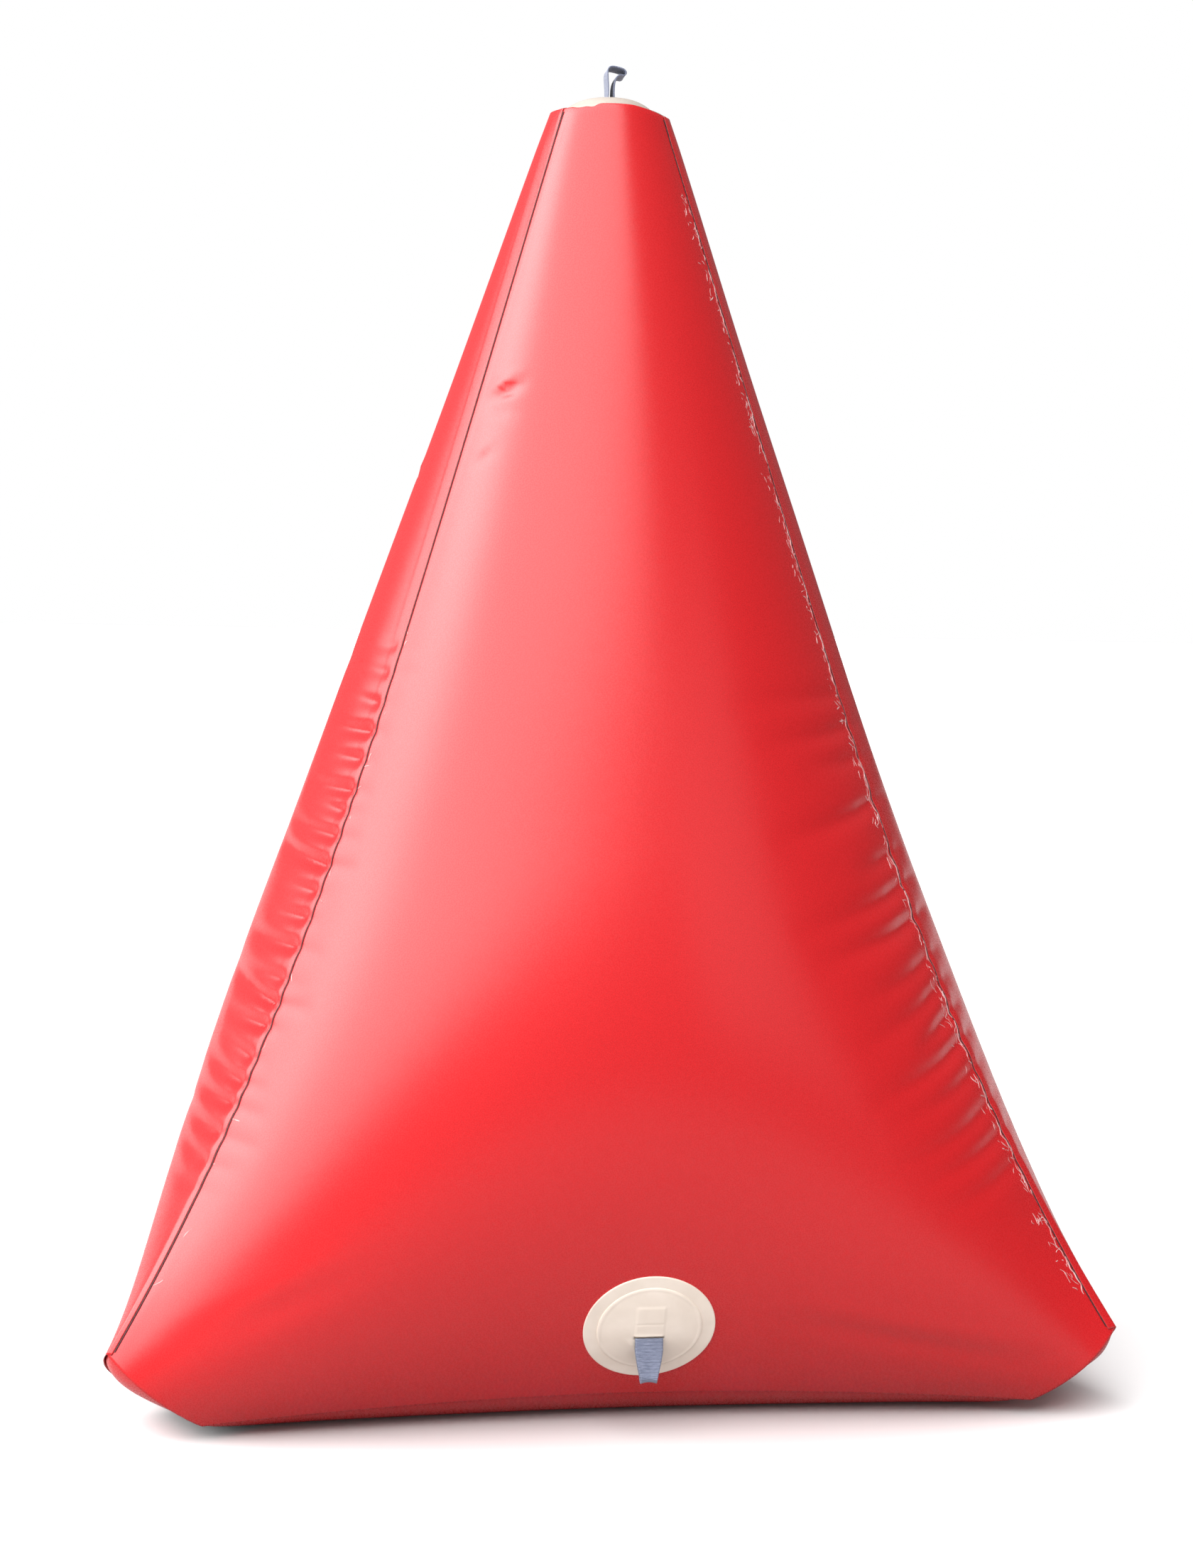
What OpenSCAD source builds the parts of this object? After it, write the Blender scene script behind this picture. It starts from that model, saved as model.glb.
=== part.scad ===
// Inflatable three-sided marker buoy: a tapering bag of coated fabric with a
// moulded top disc, webbing anchor patches and an inflation valve.
// Millimetres. +Z is up, z = 0 is the ground, and the front face looks along -Y.

/* [Bag] */
// Height of the bag's top rim above the ground
body_h = 1866; // [1500:1:2250]
// Radius of the opening that the top disc closes
top_r = 87.5; // [70:0.5:110]
// Distance from the axis to the tip of each corner
corner_reach = 815; // [670:1:980]
// Height of each corner's tip above the ground
corner_lift = 121; // [100:1:150]
// How far the corners flare out past the straight line of the seams
flare = 132; // [60:1:160]
// How far a face's middle swells past the straight cone
face_fill = 12; // [0:1:25]
// Height below which the faces round back inwards
belly_h = 820; // [680:1:990]
// How far a face swells on both sides of its middle line, below that height
fullness = 44; // [20:1:60]
// Distance from a face's middle line to the corner cap
foot_half = 580; // [480:1:620]
// Height of the base seam where it meets a corner cap
foot_lift = 24; // [15:1:40]
// Distance from the axis to the middle of a base seam
seam_reach = 410; // [340:1:450]
// Height of the middle of a base seam
seam_lift = 48; // [40:1:60]
// Distance from a base seam to where the base lies flat on the ground
roll_in = 90; // [60:1:120]
// How far a corner cap bulges
cap_bulge = 9; // [0:1:20]

/* [Fabric] */
// Thickness of the coated fabric
skin = 1.0; // [0.8:0.1:1.4]
// Space between two layers for the glue
layer_gap = 0.4; // [0.3:0.05:0.5]
// Space between the wall panels and what is tucked behind their lower edges
tuck_gap = 0.8; // [0.6:0.05:0.9]
// Width of a lap seam
lap = 18; // [12:1:24]
// Width of the tape behind a seam
tape_w = 40; // [30:1:50]
// How far the panels fold in over the top disc
hem = 9; // [5:1:14]

/* [Anchor patches] */
// Radius of a patch's base disc
patch_r = 90; // [75:1:105]
// Thickness of a patch's moulded sheets
patch_t = 1.4; // [1:0.1:2]
// Radius of the raised cover on a patch
cover_r = 72; // [60:1:80]
// How far the cover stands off the base disc
cover_h = 4.5; // [4:0.5:8]
// Height of the patch centres above the ground
patch_lift = 165; // [150:1:300]
// Sideways place of the patch centres, from the face's middle
patch_shift = 17; // [-60:1:60]
// How far below the patch's centre the slot lies
slot_drop = 12; // [0:1:20]
// Width of the webbing
web_w = 38; // [25:1:50]
// Thickness of the webbing
web_t = 1.8; // [1.2:0.1:2.4]
// Length of an anchor loop below its slot
loop_len = 60; // [45:1:80]
// Inner radius of a loop's eye
eye_r = 6.5; // [5:0.5:9]
// Running space around what moves
play = 0.4; // [0.3:0.05:0.6]

/* [Top] */
// Length of the top loop above its slot
top_loop_len = 52; // [40:1:70]
// Height of the dome of the top cover
dome_h = 13; // [8:1:20]

/* [Valve] */
// Radius of the valve's flange
flange_r = 32; // [28:1:40]
// Thickness of the valve's flange
flange_t = 3.5; // [2.5:0.5:5]
// Inner radius of the valve's tube
tube_r = 17; // [14:0.5:20]
// Wall of the valve's tube
tube_wall = 3; // [2.5:0.5:4]
// Depth of the tube behind the flange
tube_depth = 26; // [22:1:34]
// Height of the neck in front of the flange
neck_h = 11; // [9:1:16]
// Radius of the plunger's stem
stem_r = 3; // [2.5:0.25:4]
// Travel of the plunger
plunge = 6; // [4:0.5:8]
// Radius of the doubler patch around the valve
doubler_r = 62; // [50:1:75]

/* [Hidden] */
$fn = 64;

red = [0.82, 0.13, 0.16];
tape_red = [0.7, 0.1, 0.13];
ivory = [0.87, 0.85, 0.8];
webbing = [0.52, 0.55, 0.68];
black = [0.12, 0.12, 0.13];
grey = [0.55, 0.56, 0.58];
steel = [0.75, 0.76, 0.78];

FRONT = 0;
RIGHT = 1;
LEFT = 2;
side = 120;
layer = skin + layer_gap;
flare_power = 4.8;
tuck_power = 2.7;
lean = (corner_reach - flare - top_r) / (body_h - corner_lift);
face_lean = lean + face_fill / (body_h - belly_h);
tuck = top_r + face_lean * (body_h - seam_lift) - seam_reach;
rows = 24;

// ---- The bag's surface ---------------------------------------------------

// Distance from the axis to the slanted seams at height z
function seam_r(z) = top_r + lean * (body_h - z)
    + flare * pow(max(0, body_h - z) / (body_h - corner_lift), flare_power);

// Distance from the axis to a face's middle line at height z
function face_r(z) = top_r + face_lean * (body_h - z)
    - tuck * pow(max(0, belly_h - z) / (belly_h - seam_lift), tuck_power);

// Half of the chord between two seams, and half of the angle of the face's arc
function half_chord(z) = seam_r(z) * sin(60);
function raw_angle(z) = 2 * atan((face_r(z) - seam_r(z) / 2) / half_chord(z));
function half_angle(z) = abs(raw_angle(z)) < 0.05 ? 0.05 : raw_angle(z);
function half_arc(z) = half_chord(z) * half_angle(z) * PI / 180 / sin(half_angle(z));

// Share of the half width at which the base seam ends and the corner cap begins
foot_u = foot_half / half_chord(foot_lift);

// Height of the panel's lower edge at the share u of its half width
function low_z(u) = abs(u) <= foot_u
    ? foot_lift + (seam_lift - foot_lift) * (1 - pow(u / foot_u, 2))
    : foot_lift + (corner_lift - foot_lift) * (abs(u) - foot_u) / (1 - foot_u);

function turn(p, a) = [p.x * cos(a) - p.y * sin(a), p.x * sin(a) + p.y * cos(a), p.z];
function unit(v) = v / norm(v);

// Swelling at the share u of the half width and height z
function swell(u, z) = let (k = max(0, min(1, (z - foot_lift) / (belly_h - foot_lift))))
    fullness * pow(sin(180 * sqrt(k)), 2) * 4 * u * u * (1 - u * u);

// Point of the front face at the share u of its half width and height z
function face_point(u, z) = let (a = half_angle(z), c = half_chord(z))
    [c * sin(u * a) / sin(a), -seam_r(z) / 2 - c * (cos(u * a) - cos(a)) / sin(a) - swell(u, z), z];
function raw_normal(u, z) = let (s = u > 0 ? -0.01 : 0.01)
    unit(cross((face_point(u + s, z) - face_point(u, z)) * sign(s), [0, 0, 0]
        + face_point(u, z + 1) - face_point(u, z - 1)));
function crease_normal(n, way) = let (d = [way * sin(60), -cos(60), 0])
    unit([d.x, d.y, 0] * (n * d) + [0, 0, n.z]);
function face_normal(u, z) = abs(u) > 0.9999
    ? crease_normal(raw_normal(u, z), sign(u)) : raw_normal(u, z);

// Point off the bag's surface: the share u plus a distance mm along the arc
function shifted(u, mm, z) = u + mm / half_arc(z);
function wall_point(face, u, mm, z, off) =
    let (s = shifted(u, mm, z),
         f = s > 1.0001 ? face + 1 : s < -1.0001 ? face - 1 : face,
         w = s > 1.0001 ? s - 2 : s < -1.0001 ? s + 2 : s)
    turn(face_point(w, z) + face_normal(w, z) * off, f * side);

// ---- Closed shells from grids of points -----------------------------------

function flat_list(rows_of_points) = [for (r = rows_of_points) for (p = r) p];

module grid_shell(outer, inner) {
    n = len(outer[0]);
    m = len(outer);
    k = n * m;
    polyhedron(concat(flat_list(outer), flat_list(inner)), concat(
        [for (i = [0:m-2]) for (j = [0:n-2]) [i*n + j, (i+1)*n + j, (i+1)*n + j+1]],
        [for (i = [0:m-2]) for (j = [0:n-2]) [i*n + j, (i+1)*n + j+1, i*n + j+1]],
        [for (i = [0:m-2]) for (j = [0:n-2]) [k + i*n + j, k + (i+1)*n + j+1, k + (i+1)*n + j]],
        [for (i = [0:m-2]) for (j = [0:n-2]) [k + i*n + j, k + i*n + j+1, k + (i+1)*n + j+1]],
        [for (j = [0:n-2]) [j, j+1, k + j]],
        [for (j = [0:n-2]) [j+1, k + j+1, k + j]],
        [for (j = [0:n-2]) [(m-1)*n + j+1, (m-1)*n + j, k + (m-1)*n + j+1]],
        [for (j = [0:n-2]) [(m-1)*n + j, k + (m-1)*n + j, k + (m-1)*n + j+1]],
        [for (i = [0:m-2]) [(i+1)*n, i*n, k + (i+1)*n]],
        [for (i = [0:m-2]) [i*n, k + i*n, k + (i+1)*n]],
        [for (i = [0:m-2]) [i*n + n-1, (i+1)*n + n-1, k + i*n + n-1]],
        [for (i = [0:m-2]) [(i+1)*n + n-1, k + (i+1)*n + n-1, k + i*n + n-1]]));
}

// Rings of points, each closed on itself, from the first outer ring to the last
module ring_solid(rings) {
    n = len(rings[0]);
    m = len(rings);
    polyhedron(flat_list(rings), concat(
        [for (i = [0:m-2]) for (j = [0:n-1]) [i*n + j, (i+1)*n + j, (i+1)*n + (j+1) % n]],
        [for (i = [0:m-2]) for (j = [0:n-1]) [i*n + j, (i+1)*n + (j+1) % n, i*n + (j+1) % n]],
        [[for (j = [0:n-1]) j]],
        [[for (j = [0:n-1]) m*n - 1 - j]]));
}

// ---- Panels ----------------------------------------------------------------

function row_share(i) = pow(i / rows, 1.35);
// The lowest rows follow the base's turned-up edge and its tape
foot_rows = [0, lap - 10, lap, lap + 4, lap + tape_w - 14];
foot_top = foot_rows[len(foot_rows) - 1];
function wall_rows(low) = concat([for (h = foot_rows) low + h],
    [for (i = [2:rows]) low + foot_top + (body_h - low - foot_top) * (row_share(i) - row_share(1)) / (1 - row_share(1))]);
function lift(u, left, right) = layer * (left * pow(max(0, -u), 10) + right * pow(max(0, u), 10));
// Each column is a share of the half width and a distance mm from it
function columns(left_lap, right_lap) = concat(
    left_lap > 0 ? [[-1, -left_lap], [-1, -left_lap / 2]] : [],
    [[-1, 0], [-1, tape_w / 4], [-1, tape_w / 2]],
    [for (k = [2, 1]) [-foot_u - (1 - foot_u) * k / 3, 0]],
    [for (u = seam_shares()) [u, 0]],
    [for (k = [1, 2]) [foot_u + (1 - foot_u) * k / 3, 0]],
    [[1, -tape_w / 2], [1, -tape_w / 4], [1, 0]],
    right_lap > 0 ? [[1, right_lap / 2], [1, right_lap]] : []);
function column_mm(c, z) = c[0] * c[1] < 0 ? c[1] * min(1, 0.12 * half_arc(z) / tape_w) : c[1];
function column_low(c) = low_z(min(1, abs(shifted(c[0], column_mm(c, corner_lift), corner_lift))));

// The panel's rows: up the face, then folded in over the top disc
function panel_grid(face, cols, left, right, off) = concat(
    [for (i = [0:len(wall_rows(0))-1]) [for (c = cols) let (z = wall_rows(column_low(c))[i])
        wall_point(face, c[0], column_mm(c, z), z, lift(c[0], left, right) + off)]],
    [[for (c = cols) let (p = wall_point(face, c[0], column_mm(c, body_h), body_h, 0), k = (top_r - hem) / top_r)
        [p.x * k, p.y * k, body_h + skin + 0.6 + lift(c[0], left, right) + off]]]);

// left and right are the layers that the panel's edges lie on
module panel(face, left, right) {
    cols = columns(left * lap, right * lap);
    color(red) grid_shell(panel_grid(face, cols, left, right, skin), panel_grid(face, cols, left, right, 0));
}

module front_panel() { panel(FRONT, 0, 0); }
module left_panel() { panel(LEFT, 0, 1); }
module right_panel() {
    difference() {
        panel(RIGHT, 1, 1);
        at_valve() cylinder(h = 40, r = tube_r + tube_wall + 1, center = true);
    }
}

// ---- Base and corner caps ----------------------------------------------------

base_cols = 12;
flat_from = 1 - roll_in / seam_reach;
function seam_shares() = [for (j = [-base_cols/2:base_cols/2]) 2 * j / base_cols * foot_u];
function base_edge(up, off) = [for (f = [0:2]) for (u = seam_shares())
    wall_point(f, u, 0, low_z(u) + up, off)];
function base_ring(s, off) = let (k = pow(max(0, s - flat_from) / (1 - flat_from), 2))
    [for (p = base_edge(0, -tuck_gap)) [p.x * s, p.y * s, p.z * k + off]];

turned_up = [lap, lap - 10, 0];

module base_panel() {
    shares = concat([for (k = [0.93, 0.8, 0.65, 0.5, 0.35, 0.2, 0]) flat_from + (1 - flat_from) * k], [0.4]);
    color(red) shell_of_rings(
        concat([for (h = turned_up) base_edge(h, -tuck_gap)], [for (s = shares) base_ring(s, 0)]),
        concat([for (h = turned_up) base_edge(h, -tuck_gap - skin)], [for (s = shares) base_ring(s, skin)]));
}

// A dish: outside rings and inside rings from the rim to the middle, joined at the rim
module shell_of_rings(outside, inside) {
    n = len(outside);
    ring_solid(concat([for (i = [n-1:-1:0]) outside[i]], inside));
}

cap_cols = 6;
cap_tuck = 2.5;
tip_share = 1 - tape_w / 4 / half_arc(corner_lift) / (1 - foot_u);
cap_shares = [0, 1/3, 2/3, 2 * tip_share - 1, tip_share];
function cap_side(face, way, t, off) = let (u = way * (foot_u + (1 - foot_u) * t))
    wall_point(face, u, 0, low_z(u) + cap_tuck, off);
// The corner between this face's right edge and the next face's left edge
function cap_grid(face, off) = [for (t = cap_shares)
    let (a = cap_side(face, 1, t, -tuck_gap), b = cap_side(face + 1, -1, t, -tuck_gap),
         out = turn([sin(60), -cos(60), -1] / sqrt(2), face * side))
    [for (j = [0:cap_cols]) let (w = j / cap_cols)
        a * (1 - w) + b * w + out * (cap_bulge * 4 * w * (1 - w) * 4 * (0.05 + 0.95 * t) * (1 - t) + off)]];

module corner_cap(face) {
    color(red) grid_shell(cap_grid(face, 0), cap_grid(face, -skin));
}
module left_corner_cap() { corner_cap(LEFT); }
module right_corner_cap() { corner_cap(FRONT); }
module rear_corner_cap() { corner_cap(RIGHT); }

// ---- Tapes behind the seams ---------------------------------------------------

function tape_grid(face, off) = [for (i = [1:rows-1]) let (z = corner_lift + (body_h - corner_lift) * row_share(i))
    [for (j = [-2:2]) wall_point(face, 1, j * tape_w / 4, z, off)]];
module seam_tape(face) {
    color(tape_red) grid_shell(tape_grid(face, -layer_gap), tape_grid(face, -layer));
}
module left_seam_tape() { seam_tape(LEFT); }
module right_seam_tape() { seam_tape(FRONT); }
module rear_seam_tape() { seam_tape(RIGHT); }

function base_tape_grid(face, off) = [for (z = [foot_rows[1], foot_rows[2], foot_rows[3], foot_top])
    [for (s = seam_shares()) let (u = max(-0.97 * foot_u, min(0.97 * foot_u, s)))
        wall_point(face, u, 0, low_z(u) + z, off)]];
module base_tape(face) {
    inside = -tuck_gap - skin - tuck_gap;
    color(tape_red) grid_shell(base_tape_grid(face, inside), base_tape_grid(face, inside - skin));
}
module front_base_tape() { base_tape(FRONT); }
module right_base_tape() { base_tape(RIGHT); }
module left_base_tape() { base_tape(LEFT); }

// ---- Top disc ---------------------------------------------------------------

disc_r = top_r - 1;
disc_z = body_h - patch_t - 0.2;
top_cover_r = cover_r;
module top_disc() {
    color(ivory) translate([0, 0, disc_z]) cylinder(h = patch_t, r = disc_r);
}
// A shallow dome of height h over the radius r
module dome(r, h) {
    big = (r * r + h * h) / (2 * h);
    rotate_extrude() intersection() {
        translate([0, h - big]) circle(big, $fn = 128);
        square([r + 1, h + 1]);
    }
}
cover_z = body_h + 0.1;
cover_top = cover_z + dome_h;
module top_cover() {
    color(ivory) translate([0, 0, cover_z]) difference() {
        dome(top_cover_r, dome_h);
        translate([0, 0, -0.01]) dome(top_cover_r - 6, dome_h - patch_t);
        translate([0, 0, dome_h]) cube([slot_t, web_w + 2 * play + 1, 20], center = true);
    }
}

// ---- Webbing ------------------------------------------------------------------

slot_t = 2 * web_t + 2 * play + 1;
tail_len = 70;
root_r = web_t;
function arc(c, r, a0, a1, n) = [for (i = [0:n]) let (a = a0 + (a1 - a0) * i / n) c + r * [cos(a), sin(a)]];

// Side view of a folded strap: from its root at the origin up to the round end
module strap_profile(len) {
    far = len - eye_r - web_t;
    polygon(concat(arc([0, 0], root_r, 180, 360, 8), arc([0, far], eye_r + web_t, -20, 200, 24)));
}
module strap_eye(len) {
    far = len - eye_r - web_t;
    polygon(concat([[0, far - eye_r * 3.4]], arc([0, far], eye_r, -20, 200, 24)));
}
// The strap stands along +Z with its width along Y and its root on the Y axis
module strap_loop(len) {
    color(webbing) rotate([90, 0, 0]) linear_extrude(web_w, center = true) difference() {
        strap_profile(len);
        strap_eye(len);
    }
}
root_gap = 0.5;
root_z = cover_top + root_gap + root_r;
module top_loop() { translate([0, 0, root_z]) strap_loop(top_loop_len); }

// The tail lies on the disc under the cover, and its end comes up through the slot
module top_tail() {
    color(webbing) {
        translate([-tail_len / 2, -web_w / 2, cover_z]) cube([tail_len, web_w, web_t]);
        translate([-web_t, -web_w / 2, cover_z]) cube([2 * web_t, web_w, dome_h + root_gap - 0.3]);
    }
}

// ---- Anchor patches -------------------------------------------------------------

patch_u = patch_shift / half_arc(patch_lift);
patch_n = face_normal(patch_u, patch_lift);
patch_turn = atan2(patch_n.x, -patch_n.y);
patch_tilt = asin(patch_n.z);
base_top = layer + patch_t;
cover_off = base_top + 0.3;

// Moves children to a patch: +Z leaves the face, +Y runs up it, +X lies across it
module at_patch(face) {
    rotate([0, 0, face * side]) translate(face_point(patch_u, patch_lift))
        rotate([0, 0, patch_turn]) rotate([90 - patch_tilt, 0, 0]) children();
}

// A ring of points around a spot on the face, at radius r and off the surface
function spot_ring(face, mm, z0, r, off, n) = [for (j = [0:n-1]) let (a = 360 * j / n, n0 = face_normal(0, z0))
    wall_point(face, 0, mm + r * cos(a), z0 + r * sin(a) * sqrt(1 - n0.z * n0.z), off)];
// A sheet that follows the face: profile points are [radius, offset]
module spot_solid(face, mm, z0, profile) {
    ring_solid([for (p = profile) spot_ring(face, mm, z0, p[0], p[1], 40)]);
}

module anchor_base(face) {
    radii = [4, 22, 42, 60, 76, patch_r];
    color(ivory) spot_solid(face, patch_shift, patch_lift, concat(
        [for (i = [0:5]) [radii[i], layer + patch_t]],
        [for (i = [5:-1:0]) [radii[i], layer]]));
}

module anchor_cover(face) {
    radii = [4, 20, 36, 50, cover_r - 8];
    top = cover_off + cover_h;
    color(ivory) difference() {
        spot_solid(face, patch_shift, patch_lift, concat(
            [for (i = [0:4]) [radii[i], top]],
            [[cover_r - 2, cover_off + patch_t], [cover_r, cover_off]],
            [[cover_r - 6, cover_off]],
            [for (i = [4:-1:0]) [radii[i] - 2, top - patch_t]]));
        at_patch(face) translate([0, -slot_drop, top])
            cube([web_w + 2 * play + 1, slot_t, 3 * cover_h], center = true);
    }
}

// The webbing's tail lies on the base disc, under the cover, and its end comes up
// through the slot
function tail_grid(face, off) = [for (y = [-slot_drop, 6, 22, 40]) [for (x = [-0.5, 0, 0.5])
    wall_point(face, 0, patch_shift + x * web_w, patch_lift + y * cos(patch_tilt), off)]];
module anchor_tail(face) {
    low = base_top + 0.3;
    color(webbing) {
        grid_shell(tail_grid(face, low + web_t), tail_grid(face, low));
        at_patch(face) translate([-web_w / 2, -slot_drop - web_t, low])
            cube([web_w, 2 * web_t, cover_off + cover_h + root_gap - 0.3 - low]);
    }
}

// The loop hangs straight down from its slot, on an axis across the face
hinge_off = cover_off + cover_h + root_gap + root_r;
module anchor_loop(face) {
    rotate([0, 0, face * side]) translate(face_point(patch_u, patch_lift)) rotate([0, 0, patch_turn])
        translate([0, -slot_drop * sin(patch_tilt) - hinge_off * cos(patch_tilt),
                   -slot_drop * cos(patch_tilt) + hinge_off * sin(patch_tilt)])
            rotate([0, 180, 90]) strap_loop(loop_len);
}

module front_anchor_base() { anchor_base(FRONT); }
module front_anchor_cover() { anchor_cover(FRONT); }
module front_anchor_tail() { anchor_tail(FRONT); }
module front_anchor_loop() { anchor_loop(FRONT); }
module right_anchor_base() { anchor_base(RIGHT); }
module right_anchor_cover() { anchor_cover(RIGHT); }
module right_anchor_tail() { anchor_tail(RIGHT); }
module right_anchor_loop() { anchor_loop(RIGHT); }
module left_anchor_base() { anchor_base(LEFT); }
module left_anchor_cover() { anchor_cover(LEFT); }
module left_anchor_tail() { anchor_tail(LEFT); }
module left_anchor_loop() { anchor_loop(LEFT); }

// ---- Valve ------------------------------------------------------------------------

// Height at which a face stands upright, so that the valve's axis is level
valve_lift = belly_h - (belly_h - seam_lift)
    * pow(face_lean * (belly_h - seam_lift) / (tuck * tuck_power), 1 / (tuck_power - 1));

// Moves children to the valve: +Z leaves the right face, +Y points up
module at_valve() {
    rotate([0, 0, RIGHT * side]) translate([0, -face_r(valve_lift), valve_lift]) rotate([90, 0, 0]) children();
}
tube_out = tube_r + tube_wall;
gasket_t = 1.5;
gasket_z = 2 * layer;
flange_z = gasket_z + gasket_t + 0.1;
neck_z = flange_z + flange_t;
neck_top = neck_z + neck_h;
tube_end = -tube_depth;
seat_t = 3;
nut_gap = 2.2;
web_z = -6;
web_plate = 2.5;
head_t = 3;
head_r = tube_r - 5;
head_z = neck_top - head_t - 3;
seal_t = 2.5;
seal_r = tube_r - 0.5;
seat_r = tube_r - 4;

module ring(r_out, r_in, h) {
    difference() {
        cylinder(h = h, r = r_out);
        translate([0, 0, -1]) cylinder(h = h + 2, r = r_in);
    }
}

module valve_doubler() {
    radii = [tube_out + 1.5, 34, 48, doubler_r];
    color(red) spot_loop([for (r = radii) [r, layer + skin]], [for (r = radii) [r, layer]]);
}
// A ring-shaped sheet on the right face around the valve's hole
module spot_loop(top, bottom) {
    profile = concat(top, [for (i = [len(bottom)-1:-1:0]) bottom[i]]);
    n = 40;
    m = len(profile);
    points = [for (p = profile) spot_ring(RIGHT, 0, valve_lift, p[0], p[1], n)];
    polyhedron(flat_list(points), concat(
        [for (i = [0:m-1]) for (j = [0:n-1]) [i*n + j, ((i+1) % m)*n + j, ((i+1) % m)*n + (j+1) % n]],
        [for (i = [0:m-1]) for (j = [0:n-1]) [i*n + j, ((i+1) % m)*n + (j+1) % n, i*n + (j+1) % n]]));
}

module valve_gasket() {
    color(black) at_valve() translate([0, 0, gasket_z]) ring(flange_r - 1, tube_out + 0.3, gasket_t);
}

module valve_body() {
    color(grey) at_valve() difference() {
        union() {
            translate([0, 0, flange_z]) cylinder(h = flange_t, r = flange_r);
            translate([0, 0, tube_end]) cylinder(h = neck_top - tube_end, r = tube_out);
        }
        translate([0, 0, tube_end + seat_t]) cylinder(h = web_z - tube_end - seat_t, r = tube_r);
        translate([0, 0, tube_end - 1]) cylinder(h = seat_t + 2, r = seat_r);
        translate([0, 0, web_z + web_plate]) cylinder(h = neck_top - web_z, r = tube_r);
        translate([0, 0, web_z - 1]) cylinder(h = web_plate + 2, r = stem_r + play);
        for (a = [0:60:300]) rotate([0, 0, a]) translate([(tube_r + stem_r) / 2 + 0.5, 0, web_z - 1])
            cylinder(h = web_plate + 2, r = (tube_r - stem_r) / 4);
    }
}

// Threaded on the tube inside the bag, it clamps the fabric against the flange
module valve_ring_nut() {
    nut_t = 7;
    color(grey) at_valve() translate([0, 0, -nut_gap - nut_t]) difference() {
        cylinder(h = nut_t, r = flange_r);
        translate([0, 0, -1]) cylinder(h = nut_t + 2, r = tube_out + 0.3);
        for (a = [0:45:315]) rotate([0, 0, a]) translate([flange_r + 1, 0, -1])
            cylinder(h = nut_t + 2, r = 4.5);
    }
}

// The plunger's stem carries the head that is pressed; it twists to lock open
module valve_plunger() {
    color(black) at_valve() {
        translate([0, 0, tube_end - seal_t - 2.2]) cylinder(h = head_z - tube_end + seal_t + 2.3, r = stem_r);
        translate([0, 0, head_z]) cylinder(h = head_t, r = head_r);
        for (s = [-1, 1]) translate([0, s * head_r * 0.5, head_z + head_t]) cube([head_r, 1.6, 1.6], center = true);
    }
}
// The disc that closes the seat from inside, slid up and down by the stem
module valve_seal() {
    color(black) at_valve() translate([0, 0, tube_end - seal_t - 0.1]) ring(seal_r, stem_r + play / 2, seal_t);
}
module stem_clip() {
    color(steel) at_valve() translate([0, 0, tube_end - seal_t - 1.6]) ring(stem_r + 2.5, stem_r + 0.05, 1);
}
spring_r = stem_r + 3;
wire_r = 0.6;
spring_turns = 4;
spring_low = web_z + web_plate + wire_r + 0.2;
spring_high = head_z - wire_r - 0.2;
module valve_spring() {
    n = spring_turns * 14;
    color(steel) at_valve() ring_solid([for (i = [n:-1:0]) let (a = 360 * i * spring_turns / n, z = spring_low
        + (spring_high - spring_low) * i / n) [for (k = [0:5]) let (b = 60 * k)
        [(spring_r + wire_r * cos(b)) * cos(a), (spring_r + wire_r * cos(b)) * sin(a), z + wire_r * sin(b)]]]);
}

cap_wall = 2.5;
cap_r = tube_out + play + cap_wall;
cap_low = neck_z + 3.4;
cap_top = neck_top + 2.5 + cap_wall;
module valve_cap() {
    color(black) at_valve() difference() {
        union() {
            translate([0, 0, cap_low]) cylinder(h = cap_top - cap_low, r = cap_r);
            for (a = [0:15:345]) rotate([0, 0, a]) translate([cap_r, 0, cap_low + 3.4])
                cylinder(h = cap_top - cap_low - 4.4, r = 0.8, $fn = 16);
            translate([0, 0, cap_top + 1.5]) cube([2 * cap_r - 16, 4, 5], center = true);
        }
        translate([0, 0, cap_low - 1]) cylinder(h = neck_top + 2.5 - cap_low + 1, r = tube_out + play);
        translate([0, 0, cap_low + 0.8]) ring(cap_r + 5, cap_r - 1, 2);
    }
}
module cap_seal() {
    color(black) at_valve() translate([0, 0, neck_top + play]) ring(tube_out, tube_r + 0.5, 1.8);
}

// The tether's eye turns in the cap's groove, and its strap ends on the tube
eye_z = cap_low + 1;
tether_w = 8;
tether_len = 16;
module tether_eye() {
    color(black) at_valve() translate([0, 0, eye_z]) difference() {
        union() {
            cylinder(h = 1.6, r = cap_r + 3);
            translate([-tether_w / 2, -cap_r - 3 - tether_len, 0]) cube([tether_w, tether_len + 2, 1.6]);
        }
        translate([0, 0, -1]) cylinder(h = 4, r = cap_r - 1 + play);
    }
}
module cap_tether() {
    y0 = -cap_r - 3 - tether_len;
    color(black) at_valve() {
        translate([0, 0, neck_z + 0.2]) difference() {
            union() {
                cylinder(h = 1.6, r = tube_out + 4);
                translate([-tether_w / 2, y0 - 2, 0]) cube([tether_w, -y0 - tube_out, 1.6]);
            }
            translate([0, 0, -1]) cylinder(h = 4, r = tube_out + 0.3);
        }
        translate([-tether_w / 2, y0 - 2, neck_z + 0.2]) cube([tether_w, 1.6, eye_z + 1.6 - neck_z - 0.2]);
    }
}

// ---- Build -----------------------------------------------------------------------

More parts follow.
